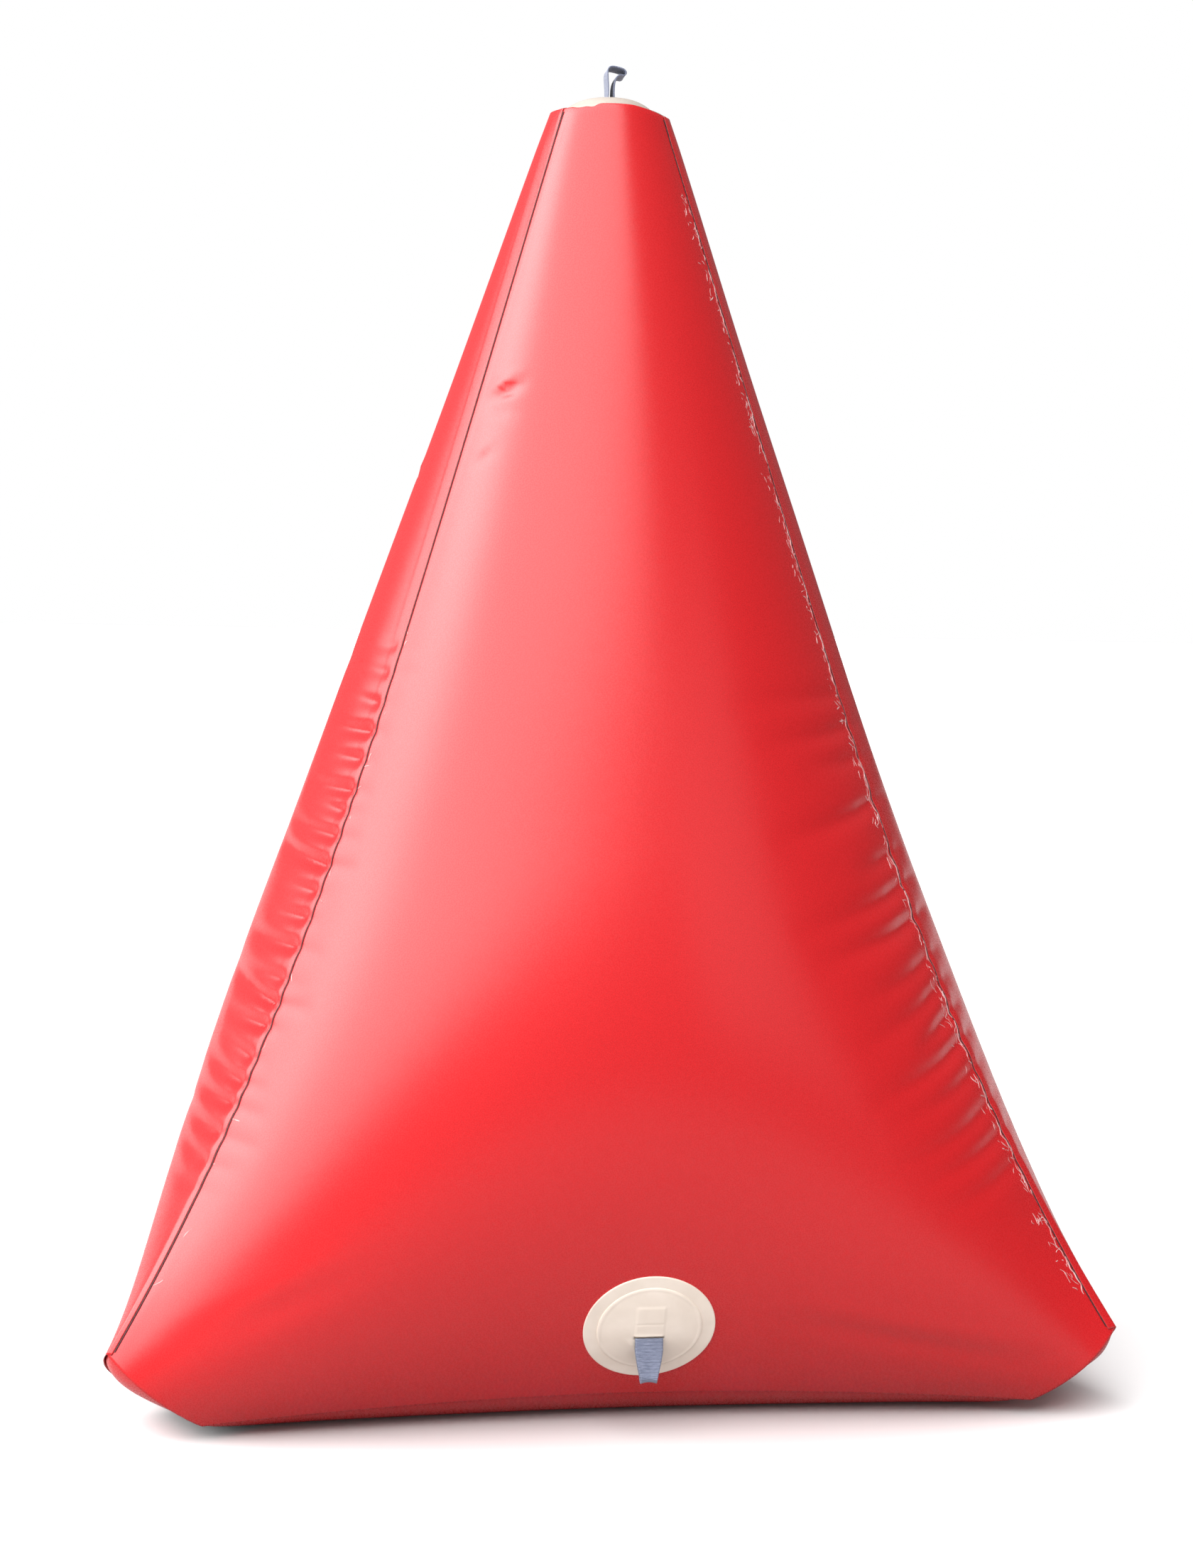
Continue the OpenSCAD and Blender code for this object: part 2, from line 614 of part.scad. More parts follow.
front_panel();
left_panel();
right_panel();
base_panel();
left_corner_cap();
right_corner_cap();
rear_corner_cap();
left_seam_tape();
right_seam_tape();
rear_seam_tape();
front_base_tape();
left_base_tape();
right_base_tape();
top_disc();
top_cover();
top_tail();
top_loop();
front_anchor_base();
front_anchor_cover();
front_anchor_tail();
front_anchor_loop();
right_anchor_base();
right_anchor_cover();
right_anchor_tail();
right_anchor_loop();
left_anchor_base();
left_anchor_cover();
left_anchor_tail();
left_anchor_loop();
valve_doubler();
valve_gasket();
valve_body();
valve_ring_nut();
valve_seal();
valve_plunger();
valve_spring();
stem_clip();
valve_cap();
cap_seal();
tether_eye();
cap_tether();
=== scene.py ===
import math

import bmesh
import bpy
import numpy as np
from mathutils import Matrix, Vector


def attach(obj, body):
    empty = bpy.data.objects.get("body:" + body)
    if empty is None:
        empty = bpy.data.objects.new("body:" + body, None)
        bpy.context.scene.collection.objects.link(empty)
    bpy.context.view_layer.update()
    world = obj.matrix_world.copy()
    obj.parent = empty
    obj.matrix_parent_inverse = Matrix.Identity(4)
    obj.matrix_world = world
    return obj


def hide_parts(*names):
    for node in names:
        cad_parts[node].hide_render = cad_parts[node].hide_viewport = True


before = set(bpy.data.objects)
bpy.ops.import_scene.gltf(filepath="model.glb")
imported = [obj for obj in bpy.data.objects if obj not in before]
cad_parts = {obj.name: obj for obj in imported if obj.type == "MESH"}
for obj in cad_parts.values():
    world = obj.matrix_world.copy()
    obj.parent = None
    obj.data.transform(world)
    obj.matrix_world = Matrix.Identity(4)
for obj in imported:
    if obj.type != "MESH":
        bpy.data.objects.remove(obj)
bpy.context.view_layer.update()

# ---- Sizes of the bag, in metres -------------------------------------------

BODY_H = 1.866
TOP_R = 0.0875
CORNER_REACH = 0.815
CORNER_LIFT = 0.121
FLARE = 0.132
FACE_FILL = 0.012
BELLY_H = 0.820
FULLNESS = 0.044
FOOT_HALF = 0.580
FOOT_LIFT = 0.024
SEAM_REACH = 0.410
SEAM_LIFT = 0.048
ROLL_IN = 0.090
CAP_BULGE = 0.009
FLARE_POWER = 4.8
TUCK_POWER = 2.7

SKIN = 0.001
LAYER = 0.0014
TUCK_GAP = 0.0008
CAP_TUCK = 0.0025
TURN_UP = 0.018
TAPE_W = 0.040
TAPE_T = 0.0008
HEM = 0.009

PATCH_R = 0.090
PATCH_T = 0.0014
COVER_R = 0.072
COVER_H = 0.0045
PATCH_LIFT = 0.165
PATCH_SHIFT = 0.017
SLOT_DROP = 0.012
WEB_W = 0.038
WEB_T = 0.0018
LOOP_LEN = 0.060
EYE_R = 0.0065
TOP_LOOP_LEN = 0.052
DOME_H = 0.013
DOME_SHOWN = 0.0215
TUBE_OUT = 0.020
DOUBLER_R = 0.062

LEAN = (CORNER_REACH - FLARE - TOP_R) / (BODY_H - CORNER_LIFT)
FACE_LEAN = LEAN + FACE_FILL / (BODY_H - BELLY_H)
TUCK = TOP_R + FACE_LEAN * (BODY_H - SEAM_LIFT) - SEAM_REACH
COVER_OFF = LAYER + PATCH_T + 0.0003
HINGE_OFF = COVER_OFF + COVER_H + 0.0005 + WEB_T

FRONT, RIGHT, LEFT = 0, 1, 2
FACES = {FRONT: "front", RIGHT: "right", LEFT: "left"}
SIDE = math.radians(120)


# ---- The bag's surface ------------------------------------------------------

def seam_r(z):
    """Distance from the axis to the slanted seams at height z."""
    drop = np.maximum(0, BODY_H - z)
    return TOP_R + LEAN * (BODY_H - z) + FLARE * (drop / (BODY_H - CORNER_LIFT)) ** FLARE_POWER


def face_r(z):
    """Distance from the axis to a face's middle line at height z."""
    drop = np.maximum(0, BELLY_H - z)
    return TOP_R + FACE_LEAN * (BODY_H - z) - TUCK * (drop / (BELLY_H - SEAM_LIFT)) ** TUCK_POWER


def half_chord(z):
    return seam_r(z) * math.sin(math.radians(60))


def half_angle(z):
    angle = 2 * np.arctan((face_r(z) - seam_r(z) / 2) / half_chord(z))
    return np.where(np.abs(angle) < 0.001, 0.001, angle)


def half_arc(z):
    angle = half_angle(z)
    return half_chord(z) * angle / np.sin(angle)


FOOT_U = FOOT_HALF / float(half_chord(FOOT_LIFT))


def low_z(u):
    """Height of a panel's lower edge at the share u of its half width."""
    u = np.abs(u)
    middle = FOOT_LIFT + (SEAM_LIFT - FOOT_LIFT) * (1 - (u / FOOT_U) ** 2)
    corner = FOOT_LIFT + (CORNER_LIFT - FOOT_LIFT) * (u - FOOT_U) / (1 - FOOT_U)
    return np.where(u <= FOOT_U, middle, corner)


def swell(u, z):
    k = np.clip((z - FOOT_LIFT) / (BELLY_H - FOOT_LIFT), 0, 1)
    return FULLNESS * np.sin(math.pi * np.sqrt(k)) ** 2 * 4 * u * u * (1 - u * u)


def face_point(u, z):
    a = half_angle(z)
    c = half_chord(z)
    bow = c * (np.cos(u * a) - np.cos(a)) / np.sin(a)
    return np.stack([c * np.sin(u * a) / np.sin(a), -seam_r(z) / 2 - bow - swell(u, z), z], -1)


def face_normal(u, z):
    """Outward normal of the front face, turned to the crease at its edges."""
    u = np.asarray(u, float)
    step = np.where(u > 0, -0.01, 0.01)
    across = (face_point(u + step, z) - face_point(u, z)) * np.sign(step)[..., None]
    up = face_point(u, z + 0.001) - face_point(u, z - 0.001)
    n = np.cross(across, up)
    n /= np.linalg.norm(n, axis=-1, keepdims=True)
    way = np.sign(u)[..., None]
    out = np.concatenate([way * math.sin(math.radians(60)), 0 * way - 0.5, 0 * way], -1)
    crease = out * (n * out).sum(-1, keepdims=True)
    crease[..., 2] = n[..., 2]
    crease /= np.linalg.norm(crease, axis=-1, keepdims=True)
    k = np.exp(-((1 - np.abs(u)) * half_arc(z) / 0.012) ** 2)[..., None]
    n = n * (1 - k) + crease * k
    return n / np.linalg.norm(n, axis=-1, keepdims=True)


def turned(p, angle):
    c, s = np.cos(angle), np.sin(angle)
    return np.stack([p[..., 0] * c - p[..., 1] * s, p[..., 0] * s + p[..., 1] * c, p[..., 2]], -1)


# ---- Gathers, creases and dents in the cloth --------------------------------

class Gathers:
    """The folds that cross one slanted seam, with how they fade on its two sides."""

    def __init__(self, seed, low, high, pitch, heights=None):
        rng = np.random.default_rng(seed)
        self.heights = list(heights or [])
        z = low
        while z < high and not heights:
            self.heights.append(z)
            z += pitch * rng.uniform(0.78, 1.25)
        n = len(self.heights)
        self.depth = rng.uniform(0.6, 1.25, n)
        self.reach = rng.uniform(0.6, 1.3, n)
        self.tilt = rng.uniform(-0.12, 0.12, n)
        ends = np.array(self.heights)
        above_foot = np.clip((ends - low + 0.06) / 0.16, 0, 1)
        below_top = np.clip((high + 0.05 - ends) / 0.2, 0, 1)
        self.depth *= above_foot * below_top


RIGHT_FOLDS = (
    0.355, 0.395, 0.436, 0.482, 0.524, 0.563, 0.602, 0.640,
    0.694, 0.742, 0.785, 0.862, 0.922, 0.968, 1.014,
)
GATHERS = {
    "left": Gathers(11, 0.33, 1.08, 0.037),
    "right": Gathers(23, 0.34, 1.06, 0.042, RIGHT_FOLDS),
    "rear": Gathers(37, 0.34, 1.04, 0.040),
}
# Each face's two edges: the seam, the depth and reach of its folds, and their slope
EDGES = {
    (FRONT, -1): ("left", 0.0036, 0.060, 0.0),
    (FRONT, 1): ("right", 0.0098, 0.250, -0.24),
    (RIGHT, -1): ("right", 0.0028, 0.110, 0.05),
    (RIGHT, 1): ("rear", 0.0050, 0.130, -0.15),
    (LEFT, -1): ("rear", 0.0050, 0.110, 0.05),
    (LEFT, 1): ("left", 0.0115, 0.230, 0.05),
}
SEAM_DIPS = {"left": 0.0032, "right": 0.0018, "rear": 0.0032}
FOLD_W = 0.0085
RIGHT_FOLD_W = 1.25 * FOLD_W
FOLD_SPREAD = 4.0
CALM_SHARE = 0.25
CALM_REACH = 0.070


def bell(distance, width):
    return np.exp(-(distance / width) ** 2)


def ending(distance, blur):
    """1 before an edge and 0 past it, with the step blurred."""
    return 1 / (1 + np.exp(distance / blur))


def gather_relief(face, u, z):
    """How far the folds pull the cloth in, on one face."""
    total = np.zeros_like(z)
    for way in (-1, 1):
        seam, deep, reach, slant = EDGES[(face, way)]
        gathers = GATHERS[seam]
        dist = (1 - way * u) * half_arc(z)
        at_seam = bell(dist, 0.010)
        calmer = CALM_SHARE + (1 - CALM_SHARE) * np.clip(dist / CALM_REACH, 0, 1) if face == FRONT else 1.0
        width = RIGHT_FOLD_W if face == FRONT and way > 0 else FOLD_W
        width = width * (1 + FOLD_SPREAD * dist)
        for k, height in enumerate(gathers.heights):
            lower_down = np.clip((1.0 - height) / 0.55, 0, 1)
            slope = 0.5 * gathers.tilt[k] + slant * (0.3 + 0.7 * lower_down)
            fade = np.clip(1 - dist / (reach * gathers.reach[k]), 0, 1)
            shape = np.exp(-np.abs((z - height - slope * dist) / width) ** 1.7)
            depth = SEAM_DIPS[seam] * at_seam + deep * calmer * (1 - at_seam) * fade
            total -= gathers.depth[k] * depth * shape
    return total


# Short creases and soft tension lines: face, ends (across in m, height), depth, width
CREASES = [
    (FRONT, -0.208, 1.432, -0.160, 1.447, 0.0060, 0.007),
    (FRONT, -0.212, 1.414, -0.176, 1.408, 0.0024, 0.008),
    (FRONT, -0.236, 1.338, -0.208, 1.350, 0.0022, 0.006),
    (FRONT, 0.235, 0.168, 0.560, 0.092, 0.0030, 0.016),
    (FRONT, -0.565, 0.160, -0.400, 0.245, 0.0020, 0.020),
    (RIGHT, -0.540, 0.130, -0.330, 0.230, 0.0026, 0.018),
    (RIGHT, 0.560, 0.135, 0.360, 0.215, 0.0022, 0.016),
    (LEFT, 0.545, 0.135, 0.350, 0.225, 0.0024, 0.016),
    (LEFT, -0.550, 0.130, -0.320, 0.200, 0.0024, 0.018),
    (LEFT, 0.110, 1.320, 0.160, 1.338, 0.0020, 0.007),
    (RIGHT, -0.060, 1.560, -0.100, 1.548, 0.0020, 0.007),
]


def crease_relief(face, u, z):
    across = u * half_arc(z)
    total = np.zeros_like(z)
    for owner, x0, z0, x1, z1, depth, width in CREASES:
        if owner != face:
            continue
        line = np.array([x1 - x0, z1 - z0])
        length = np.linalg.norm(line)
        line /= length
        along = (across - x0) * line[0] + (z - z0) * line[1]
        aside = -(across - x0) * line[1] + (z - z0) * line[0]
        inside = np.clip(along / length, 0, 1)
        taper = bell(along - inside * length, 2 * width) * (0.35 + 0.65 * np.sin(math.pi * inside))
        shoulder = 0.55 * bell(aside - 1.6 * width, width)
        total += depth * taper * (shoulder - bell(aside, width))
    return total


def slow_waves(face, u, z):
    """Broad, shallow unevenness of a hand-cut bag."""
    x = u * half_arc(z)
    phase = 1.7 * face
    edge = np.clip((1 - np.abs(u)) * 6, 0, 1)
    wave = np.sin(9.1 * x + 5.3 * z + phase) * np.sin(4.3 * z - 3.1 * x + 2.1 * phase)
    return 0.0012 * edge * wave


def tape_print(u, z):
    """The tape behind each seam shows as a faint step."""
    dist = (1 - np.abs(u)) * half_arc(z)
    return 0.00035 * ending(dist - TAPE_W / 2, 0.0007)


def relief(face, u, z):
    near_top = np.clip((BODY_H - z) / 0.05, 0, 1)
    near_foot = np.clip((z - low_z(np.clip(u, -1, 1))) / 0.03, 0, 1)
    soft = gather_relief(face, u, z) + crease_relief(face, u, z)
    soft = soft + slow_waves(face, u, z) + tape_print(u, z)
    return soft * near_top * near_foot


def wall_point(face, u, mm, z, off):
    """A point off the bag: the share u plus a distance along the arc, past a seam if need be."""
    u, mm, z, off = np.broadcast_arrays(*[np.asarray(v, float) for v in (u, mm, z, off)])
    s = u + mm / half_arc(z)
    points = np.zeros(s.shape + (3,))
    for shift in (-1, 0, 1):
        inside = (s > 1.0001) if shift > 0 else (s < -1.0001) if shift < 0 else (np.abs(s) <= 1.0001)
        if not inside.any():
            continue
        w = s[inside] - 2 * shift
        owner = (face + shift) % 3
        h = z[inside]
        lift = off[inside] + relief(owner, w, h)
        placed = face_point(w, h) + face_normal(w, h) * lift[:, None]
        points[inside] = turned(placed, (face + shift) * SIDE)
    return points


# ---- Making pieces ------------------------------------------------------------

def outward(face, rise=0.0):
    """The way a face looks, with a rise upward; face + 0.5 is the seam at its right."""
    angle = -math.pi / 2 + face * SIDE
    return math.cos(angle), math.sin(angle), rise


def shown(name, bm, material):
    """Puts a mesh in the scene as a smooth piece."""
    mesh = bpy.data.meshes.new(name)
    bm.to_mesh(mesh)
    bm.free()
    mesh.shade_smooth()
    mesh.materials.append(material)
    piece = bpy.data.objects.new(name, mesh)
    bpy.context.scene.collection.objects.link(piece)
    return piece


def grid_piece(name, columns, rows, place, uv_size, material):
    """A sheet of columns by rows, laid out by place(s, t) with s and t from 0 to 1."""
    bm = bmesh.new()
    bm.loops.layers.uv.new("UVMap")
    bmesh.ops.create_grid(bm, x_segments=columns, y_segments=rows, size=0.5, calc_uvs=True)
    piece = shown(name, bm, material)
    mesh = piece.data
    flat = np.empty(len(mesh.vertices) * 3)
    mesh.vertices.foreach_get("co", flat)
    flat = flat.reshape(-1, 3)
    points = place(flat[:, 0] + 0.5, flat[:, 1] + 0.5)
    mesh.vertices.foreach_set("co", np.ascontiguousarray(points, float).ravel())
    scale_uv(mesh, uv_size)
    mesh.update()
    return piece


def scale_uv(mesh, size):
    layer = mesh.uv_layers[0].data
    flat = np.empty(len(layer) * 2)
    layer.foreach_get("uv", flat)
    flat = flat.reshape(-1, 2) * np.array(size)
    layer.foreach_set("uv", flat.ravel())


def welded(piece, distance=0.00001):
    """Merges doubles and turns the faces outward."""
    bm = bmesh.new()
    bm.from_mesh(piece.data)
    bmesh.ops.remove_doubles(bm, verts=bm.verts, dist=distance)
    bmesh.ops.recalc_face_normals(bm, faces=bm.faces)
    bm.to_mesh(piece.data)
    bm.free()
    piece.data.shade_smooth()


def faced(piece, way):
    """Turns the sheet over if it looks away from the given way on the whole."""
    piece.data.update()
    normal = Vector((0, 0, 0))
    for polygon in piece.data.polygons:
        normal += polygon.normal * polygon.area
    if normal.dot(Vector(way)) < 0:
        piece.data.flip_normals()


def thickened(piece, depth, rim=0, even=False):
    """Gives a sheet its thickness on its inner side."""
    wall = piece.modifiers.new("thickness", "SOLIDIFY")
    wall.thickness = depth
    wall.offset = -1
    wall.use_even_offset = even
    wall.material_offset_rim = rim


def finished(piece, body, slot, *nodes):
    """Says which body a piece rides on and the nodes it stands for; slot is not used."""
    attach(piece, body)
    if nodes:
        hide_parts(*nodes)


# ---- Materials ------------------------------------------------------------------

def new_material(name, color, roughness):
    material = bpy.data.materials.new(name)
    material.use_nodes = True
    shader = material.node_tree.nodes["Principled BSDF"]
    shader.inputs["Base Color"].default_value = (*color, 1)
    shader.inputs["Roughness"].default_value = roughness
    return material, material.node_tree, shader


def add(tree, kind, **values):
    node = tree.nodes.new(kind)
    for key, value in values.items():
        if key in node.inputs:
            node.inputs[key].default_value = value
        else:
            setattr(node, key, value)
    return node


def noise(tree, scale, detail=3.0, where="Object", stretch=None):
    source = add(tree, "ShaderNodeTexCoord")
    texture = add(tree, "ShaderNodeTexNoise", Scale=scale, Detail=detail)
    if stretch:
        mapping = add(tree, "ShaderNodeMapping", Scale=stretch)
        tree.links.new(source.outputs[where], mapping.inputs["Vector"])
        tree.links.new(mapping.outputs["Vector"], texture.inputs["Vector"])
    else:
        tree.links.new(source.outputs[where], texture.inputs["Vector"])
    return texture.outputs["Fac"]


def ramp(tree, value, low, high, out_low, out_high):
    node = add(tree, "ShaderNodeMapRange")
    node.inputs["From Min"].default_value = low
    node.inputs["From Max"].default_value = high
    node.inputs["To Min"].default_value = out_low
    node.inputs["To Max"].default_value = out_high
    tree.links.new(value, node.inputs["Value"])
    return node.outputs["Result"]


def tinted(tree, value, dark, light):
    mix = tree.nodes.new("ShaderNodeMix")
    mix.data_type = "RGBA"
    mix.inputs[6].default_value = (*dark, 1)
    mix.inputs[7].default_value = (*light, 1)
    tree.links.new(value, mix.inputs[0])
    return mix.outputs[2]


def bumped(tree, shader, height, distance, strength=1.0, before=None):
    bump = add(tree, "ShaderNodeBump", Strength=strength, Distance=distance)
    tree.links.new(height, bump.inputs["Height"])
    if before:
        tree.links.new(before, bump.inputs["Normal"])
    tree.links.new(bump.outputs["Normal"], shader.inputs["Normal"])
    return bump.outputs["Normal"]


def weave(tree, pitch):
    """The threads of the cloth inside the coating, as a fine square pattern."""
    source = add(tree, "ShaderNodeTexCoord")
    parts = tree.nodes.new("ShaderNodeSeparateXYZ")
    tree.links.new(source.outputs["Object"], parts.inputs["Vector"])
    waves = []
    for axis in ("X", "Z"):
        turn = add(tree, "ShaderNodeMath", operation="MULTIPLY")
        turn.inputs[1].default_value = 2 * math.pi / pitch
        tree.links.new(parts.outputs[axis], turn.inputs[0])
        wave = add(tree, "ShaderNodeMath", operation="SINE")
        tree.links.new(turn.outputs[0], wave.inputs[0])
        waves.append(wave.outputs[0])
    both = add(tree, "ShaderNodeMath", operation="ADD")
    tree.links.new(waves[0], both.inputs[0])
    tree.links.new(waves[1], both.inputs[1])
    return both.outputs[0]


# Noise scales are in turns per metre, pitches in metres
MOTTLING = 420.0
SMEARS = 520.0
THREAD_PITCH = 0.0011
RIB_PITCH = 0.0019


def coated_cloth(name, dark, light, smooth, rough):
    """Glossy coating over a weave, with fine mottling and smears."""
    material, tree, shader = new_material(name, light, smooth)
    mottling = ramp(tree, noise(tree, MOTTLING), 0.25, 0.75, 0, 1)
    tree.links.new(tinted(tree, mottling, dark, light), shader.inputs["Base Color"])
    smears = ramp(tree, noise(tree, SMEARS), 0.25, 0.75, smooth, rough)
    tree.links.new(smears, shader.inputs["Roughness"])
    threads = bumped(tree, shader, weave(tree, THREAD_PITCH), 0.00001, 0.6)
    grain = bumped(tree, shader, noise(tree, 900.0, 2.0), 0.00006, 0.6, threads)
    bumped(tree, shader, noise(tree, 60.0, 2.0), 0.0004, 0.15, grain)
    shader.inputs["IOR"].default_value = 1.5
    return material


def make_materials():
    made = {}
    reds = (0.54, 0.0076, 0.0105), (0.57, 0.0088, 0.0120)
    made["cloth"] = coated_cloth("red_coated_cloth", *reds, 0.25, 0.30)
    made["tape"] = coated_cloth("red_seam_tape", (0.32, 0.008, 0.012), (0.40, 0.010, 0.015), 0.34, 0.42)
    made["edge"] = cut_edge_and_shadow_material("cut_cloth_edge", (0.16, 0.03, 0.035), (0.42, 0.16, 0.15))
    # The near-black seam material is painted shadow, standing for the shade under each lap's cut edge.
    made["groove"] = cut_edge_and_shadow_material("dark_seam_groove", (0.030, 0.003, 0.004), (0.11, 0.010, 0.014))
    made["glue"] = glue_material()
    made["patch"] = patch_material("cream_moulded_sheet", 1.0)
    # The top's sheets are the cream sheet at half brightness: painted shade, as they lie flat under the
    # light.
    made["top_sheet"] = patch_material("white_sheet_painted_shade", 0.5)
    made["webbing"] = webbing_material()
    made["valve"] = moulding("grey_nylon", (0.30, 0.31, 0.33), 0.42)
    made["black"] = moulding("black_nylon", (0.018, 0.018, 0.020), 0.38)
    made["rubber"] = moulding("black_rubber", (0.012, 0.012, 0.012), 0.62)
    made["steel"] = steel_material()
    return made


# Makes the cut edges' material, and also the near-black painted shadow along the laps' cut edges.
def cut_edge_and_shadow_material(name, dark, light):
    material, tree, shader = new_material(name, light, 0.7)
    edge_tone = ramp(tree, noise(tree, 400.0), 0.35, 0.65, 0, 1)
    tree.links.new(tinted(tree, edge_tone, dark, light), shader.inputs["Base Color"])
    bumped(tree, shader, noise(tree, 800.0), 0.0003, 0.6)
    return material


def glue_material():
    material, tree, shader = new_material("dried_glue", (0.62, 0.34, 0.33), 0.2)
    cloud = ramp(tree, noise(tree, 90.0), 0.35, 0.65, 0, 1)
    tree.links.new(tinted(tree, cloud, (0.52, 0.16, 0.16), (0.72, 0.46, 0.45)), shader.inputs["Base Color"])
    bumped(tree, shader, noise(tree, 500.0), 0.0004, 0.5)
    return material


def patch_material(name, share):
    """Cream moulded sheet; a share below 1 dims it as painted shade, for a sheet that lies flat to the
    light.
    """
    dark = tuple(share * c for c in (0.82, 0.71, 0.61))
    light = tuple(share * c for c in (0.90, 0.79, 0.69))
    material, tree, shader = new_material(name, light, 0.42)
    stain = ramp(tree, noise(tree, 22.0, 5.0), 0.38, 0.68, 0, 1)
    tree.links.new(tinted(tree, stain, dark, light), shader.inputs["Base Color"])
    gloss = ramp(tree, noise(tree, 30.0), 0.3, 0.7, 0.36, 0.50)
    tree.links.new(gloss, shader.inputs["Roughness"])
    bumped(tree, shader, noise(tree, 1400.0, 2.0), 0.00008, 0.7)
    return material


def webbing_material():
    """Ribs across the strap with flecks of lighter yarn; the UV map is in metres."""
    material, tree, shader = new_material("grey_blue_webbing", (0.25, 0.29, 0.42), 0.72)
    source = add(tree, "ShaderNodeTexCoord")
    parts = tree.nodes.new("ShaderNodeSeparateXYZ")
    tree.links.new(source.outputs["UV"], parts.inputs["Vector"])
    turn = add(tree, "ShaderNodeMath", operation="MULTIPLY")
    turn.inputs[1].default_value = 2 * math.pi / RIB_PITCH
    tree.links.new(parts.outputs["Y"], turn.inputs[0])
    rib = add(tree, "ShaderNodeMath", operation="SINE")
    tree.links.new(turn.outputs[0], rib.inputs[0])
    fleck = noise(tree, 1.0, 2.0, "UV", (90.0, 480.0, 1.0))
    yarn = add(tree, "ShaderNodeMath", operation="MULTIPLY_ADD")
    yarn.inputs[1].default_value = 0.35
    tree.links.new(rib.outputs[0], yarn.inputs[0])
    tree.links.new(fleck, yarn.inputs[2])
    shade = ramp(tree, yarn.outputs[0], 0.1, 0.95, 0, 1)
    blues = tinted(tree, shade, (0.085, 0.10, 0.16), (0.30, 0.33, 0.45))
    tree.links.new(blues, shader.inputs["Base Color"])
    bumped(tree, shader, yarn.outputs[0], 0.0005, 0.8)
    shader.inputs["Sheen Weight"].default_value = 0.25
    shader.inputs["Sheen Roughness"].default_value = 0.5
    return material


def moulding(name, color, roughness):
    material, tree, shader = new_material(name, color, roughness)
    tone = ramp(tree, noise(tree, 60.0), 0.35, 0.65, 0, 1)
    darker = tuple(0.85 * c for c in color)
    tree.links.new(tinted(tree, tone, darker, color), shader.inputs["Base Color"])
    gloss = ramp(tree, noise(tree, 120.0), 0.3, 0.7, roughness - 0.05, roughness + 0.07)
    tree.links.new(gloss, shader.inputs["Roughness"])
    bumped(tree, shader, noise(tree, 2200.0, 2.0), 0.00006, 0.5)
    return material


def steel_material():
    material, tree, shader = new_material("stainless_wire", (0.62, 0.63, 0.65), 0.25)
    shader.inputs["Metallic"].default_value = 1.0
    drawn = ramp(tree, noise(tree, 700.0, 2.0), 0.3, 0.7, 0.2, 0.36)
    tree.links.new(drawn, shader.inputs["Roughness"])
    bumped(tree, shader, noise(tree, 1500.0, 2.0), 0.00003, 0.5)
    return material


# ---- The bag's panels --------------------------------------------------------------

WALL_COLUMNS = 128
WALL_ROWS = 300
HEM_ROWS = 9
LAP_COLUMNS = 5
RIM_BLEND = 0.85
LEFT_LAP = 0.007
RIGHT_LAP = 0.014
REAR_LAP = 0.012
SAG_SHARE = 0.5
SAG_FROM_R = 0.040


def row_heights(t):
    """Share of the wall's height at the share t of its rows, close together where it folds."""
    return np.interp(t, [0, 0.06, 0.15, 0.74, 1], [0, 0.03, 0.14, 0.59, 1])


def wall_columns(left_lap, right_lap):
    """Each column's share of the half width, and its distance past the seam."""
    x = np.linspace(-1, 1, WALL_COLUMNS + 1)
    shares = list(1.3 * x - 0.3 * x ** 3)
    beyond = [0.0] * len(shares)
    for lap, way in ((left_lap, -1), (right_lap, 1)):
        steps = [lap * k / LAP_COLUMNS for k in range(1, LAP_COLUMNS + 1)] if lap else []
        if way < 0:
            shares = [-1.0] * len(steps) + shares
            beyond = [-d for d in reversed(steps)] + beyond
        else:
            shares += [1.0] * len(steps)
            beyond += steps
    return np.array(shares), np.array(beyond)


# The cut rim over the top disc: its drop in front and at the two front seams, and two folds in it
RIM_DROP = 0.0015
RIM_AT_RIGHT = 0.0100
RIM_AT_LEFT = 0.0045
RIM_FOLDS = ((-0.42, 0.0055, 0.09), (-0.64, 0.0022, 0.10))


def rim_dip(face, u):
    """How far the cut rim lies below level, at the share u of a face's half width."""
    if face == FRONT:
        folds = sum(depth * bell(u - at, width) for at, depth, width in RIM_FOLDS)
        to_right = (RIM_AT_RIGHT - RIM_DROP) * np.clip((u - 0.25) / 0.7, 0, 1)
        to_left = (RIM_AT_LEFT - RIM_DROP) * np.clip((-u - 0.45) / 0.1, 0, 1)
        return RIM_DROP + folds + to_right + to_left
    if face == RIGHT:
        from_front = RIM_AT_RIGHT * np.clip(1 - (1 + u) / 0.7, 0, 1)
    else:
        from_front = RIM_AT_LEFT * np.clip(1 - (1 - u) / 0.7, 0, 1)
    return 0.0009 * (1 + np.sin(5 * u + face)) * (1 - np.abs(u)) + from_front


def rim_sag(x, y):
    """How far the disc and its cover follow the rim down, at a place on the top."""
    angle = np.arctan2(y, x)
    total = np.zeros_like(x)
    for face in FACES:
        u = (angle + math.pi / 2 - face * SIDE + math.pi) % (2 * math.pi) - math.pi
        u = u / math.radians(60)
        total = np.where(np.abs(u) <= 1, rim_dip(face, u), total)
    outer = np.clip((np.hypot(x, y) - SAG_FROM_R) / (TOP_R - SAG_FROM_R), 0, 1)
    return SAG_SHARE * total * outer ** 1.5


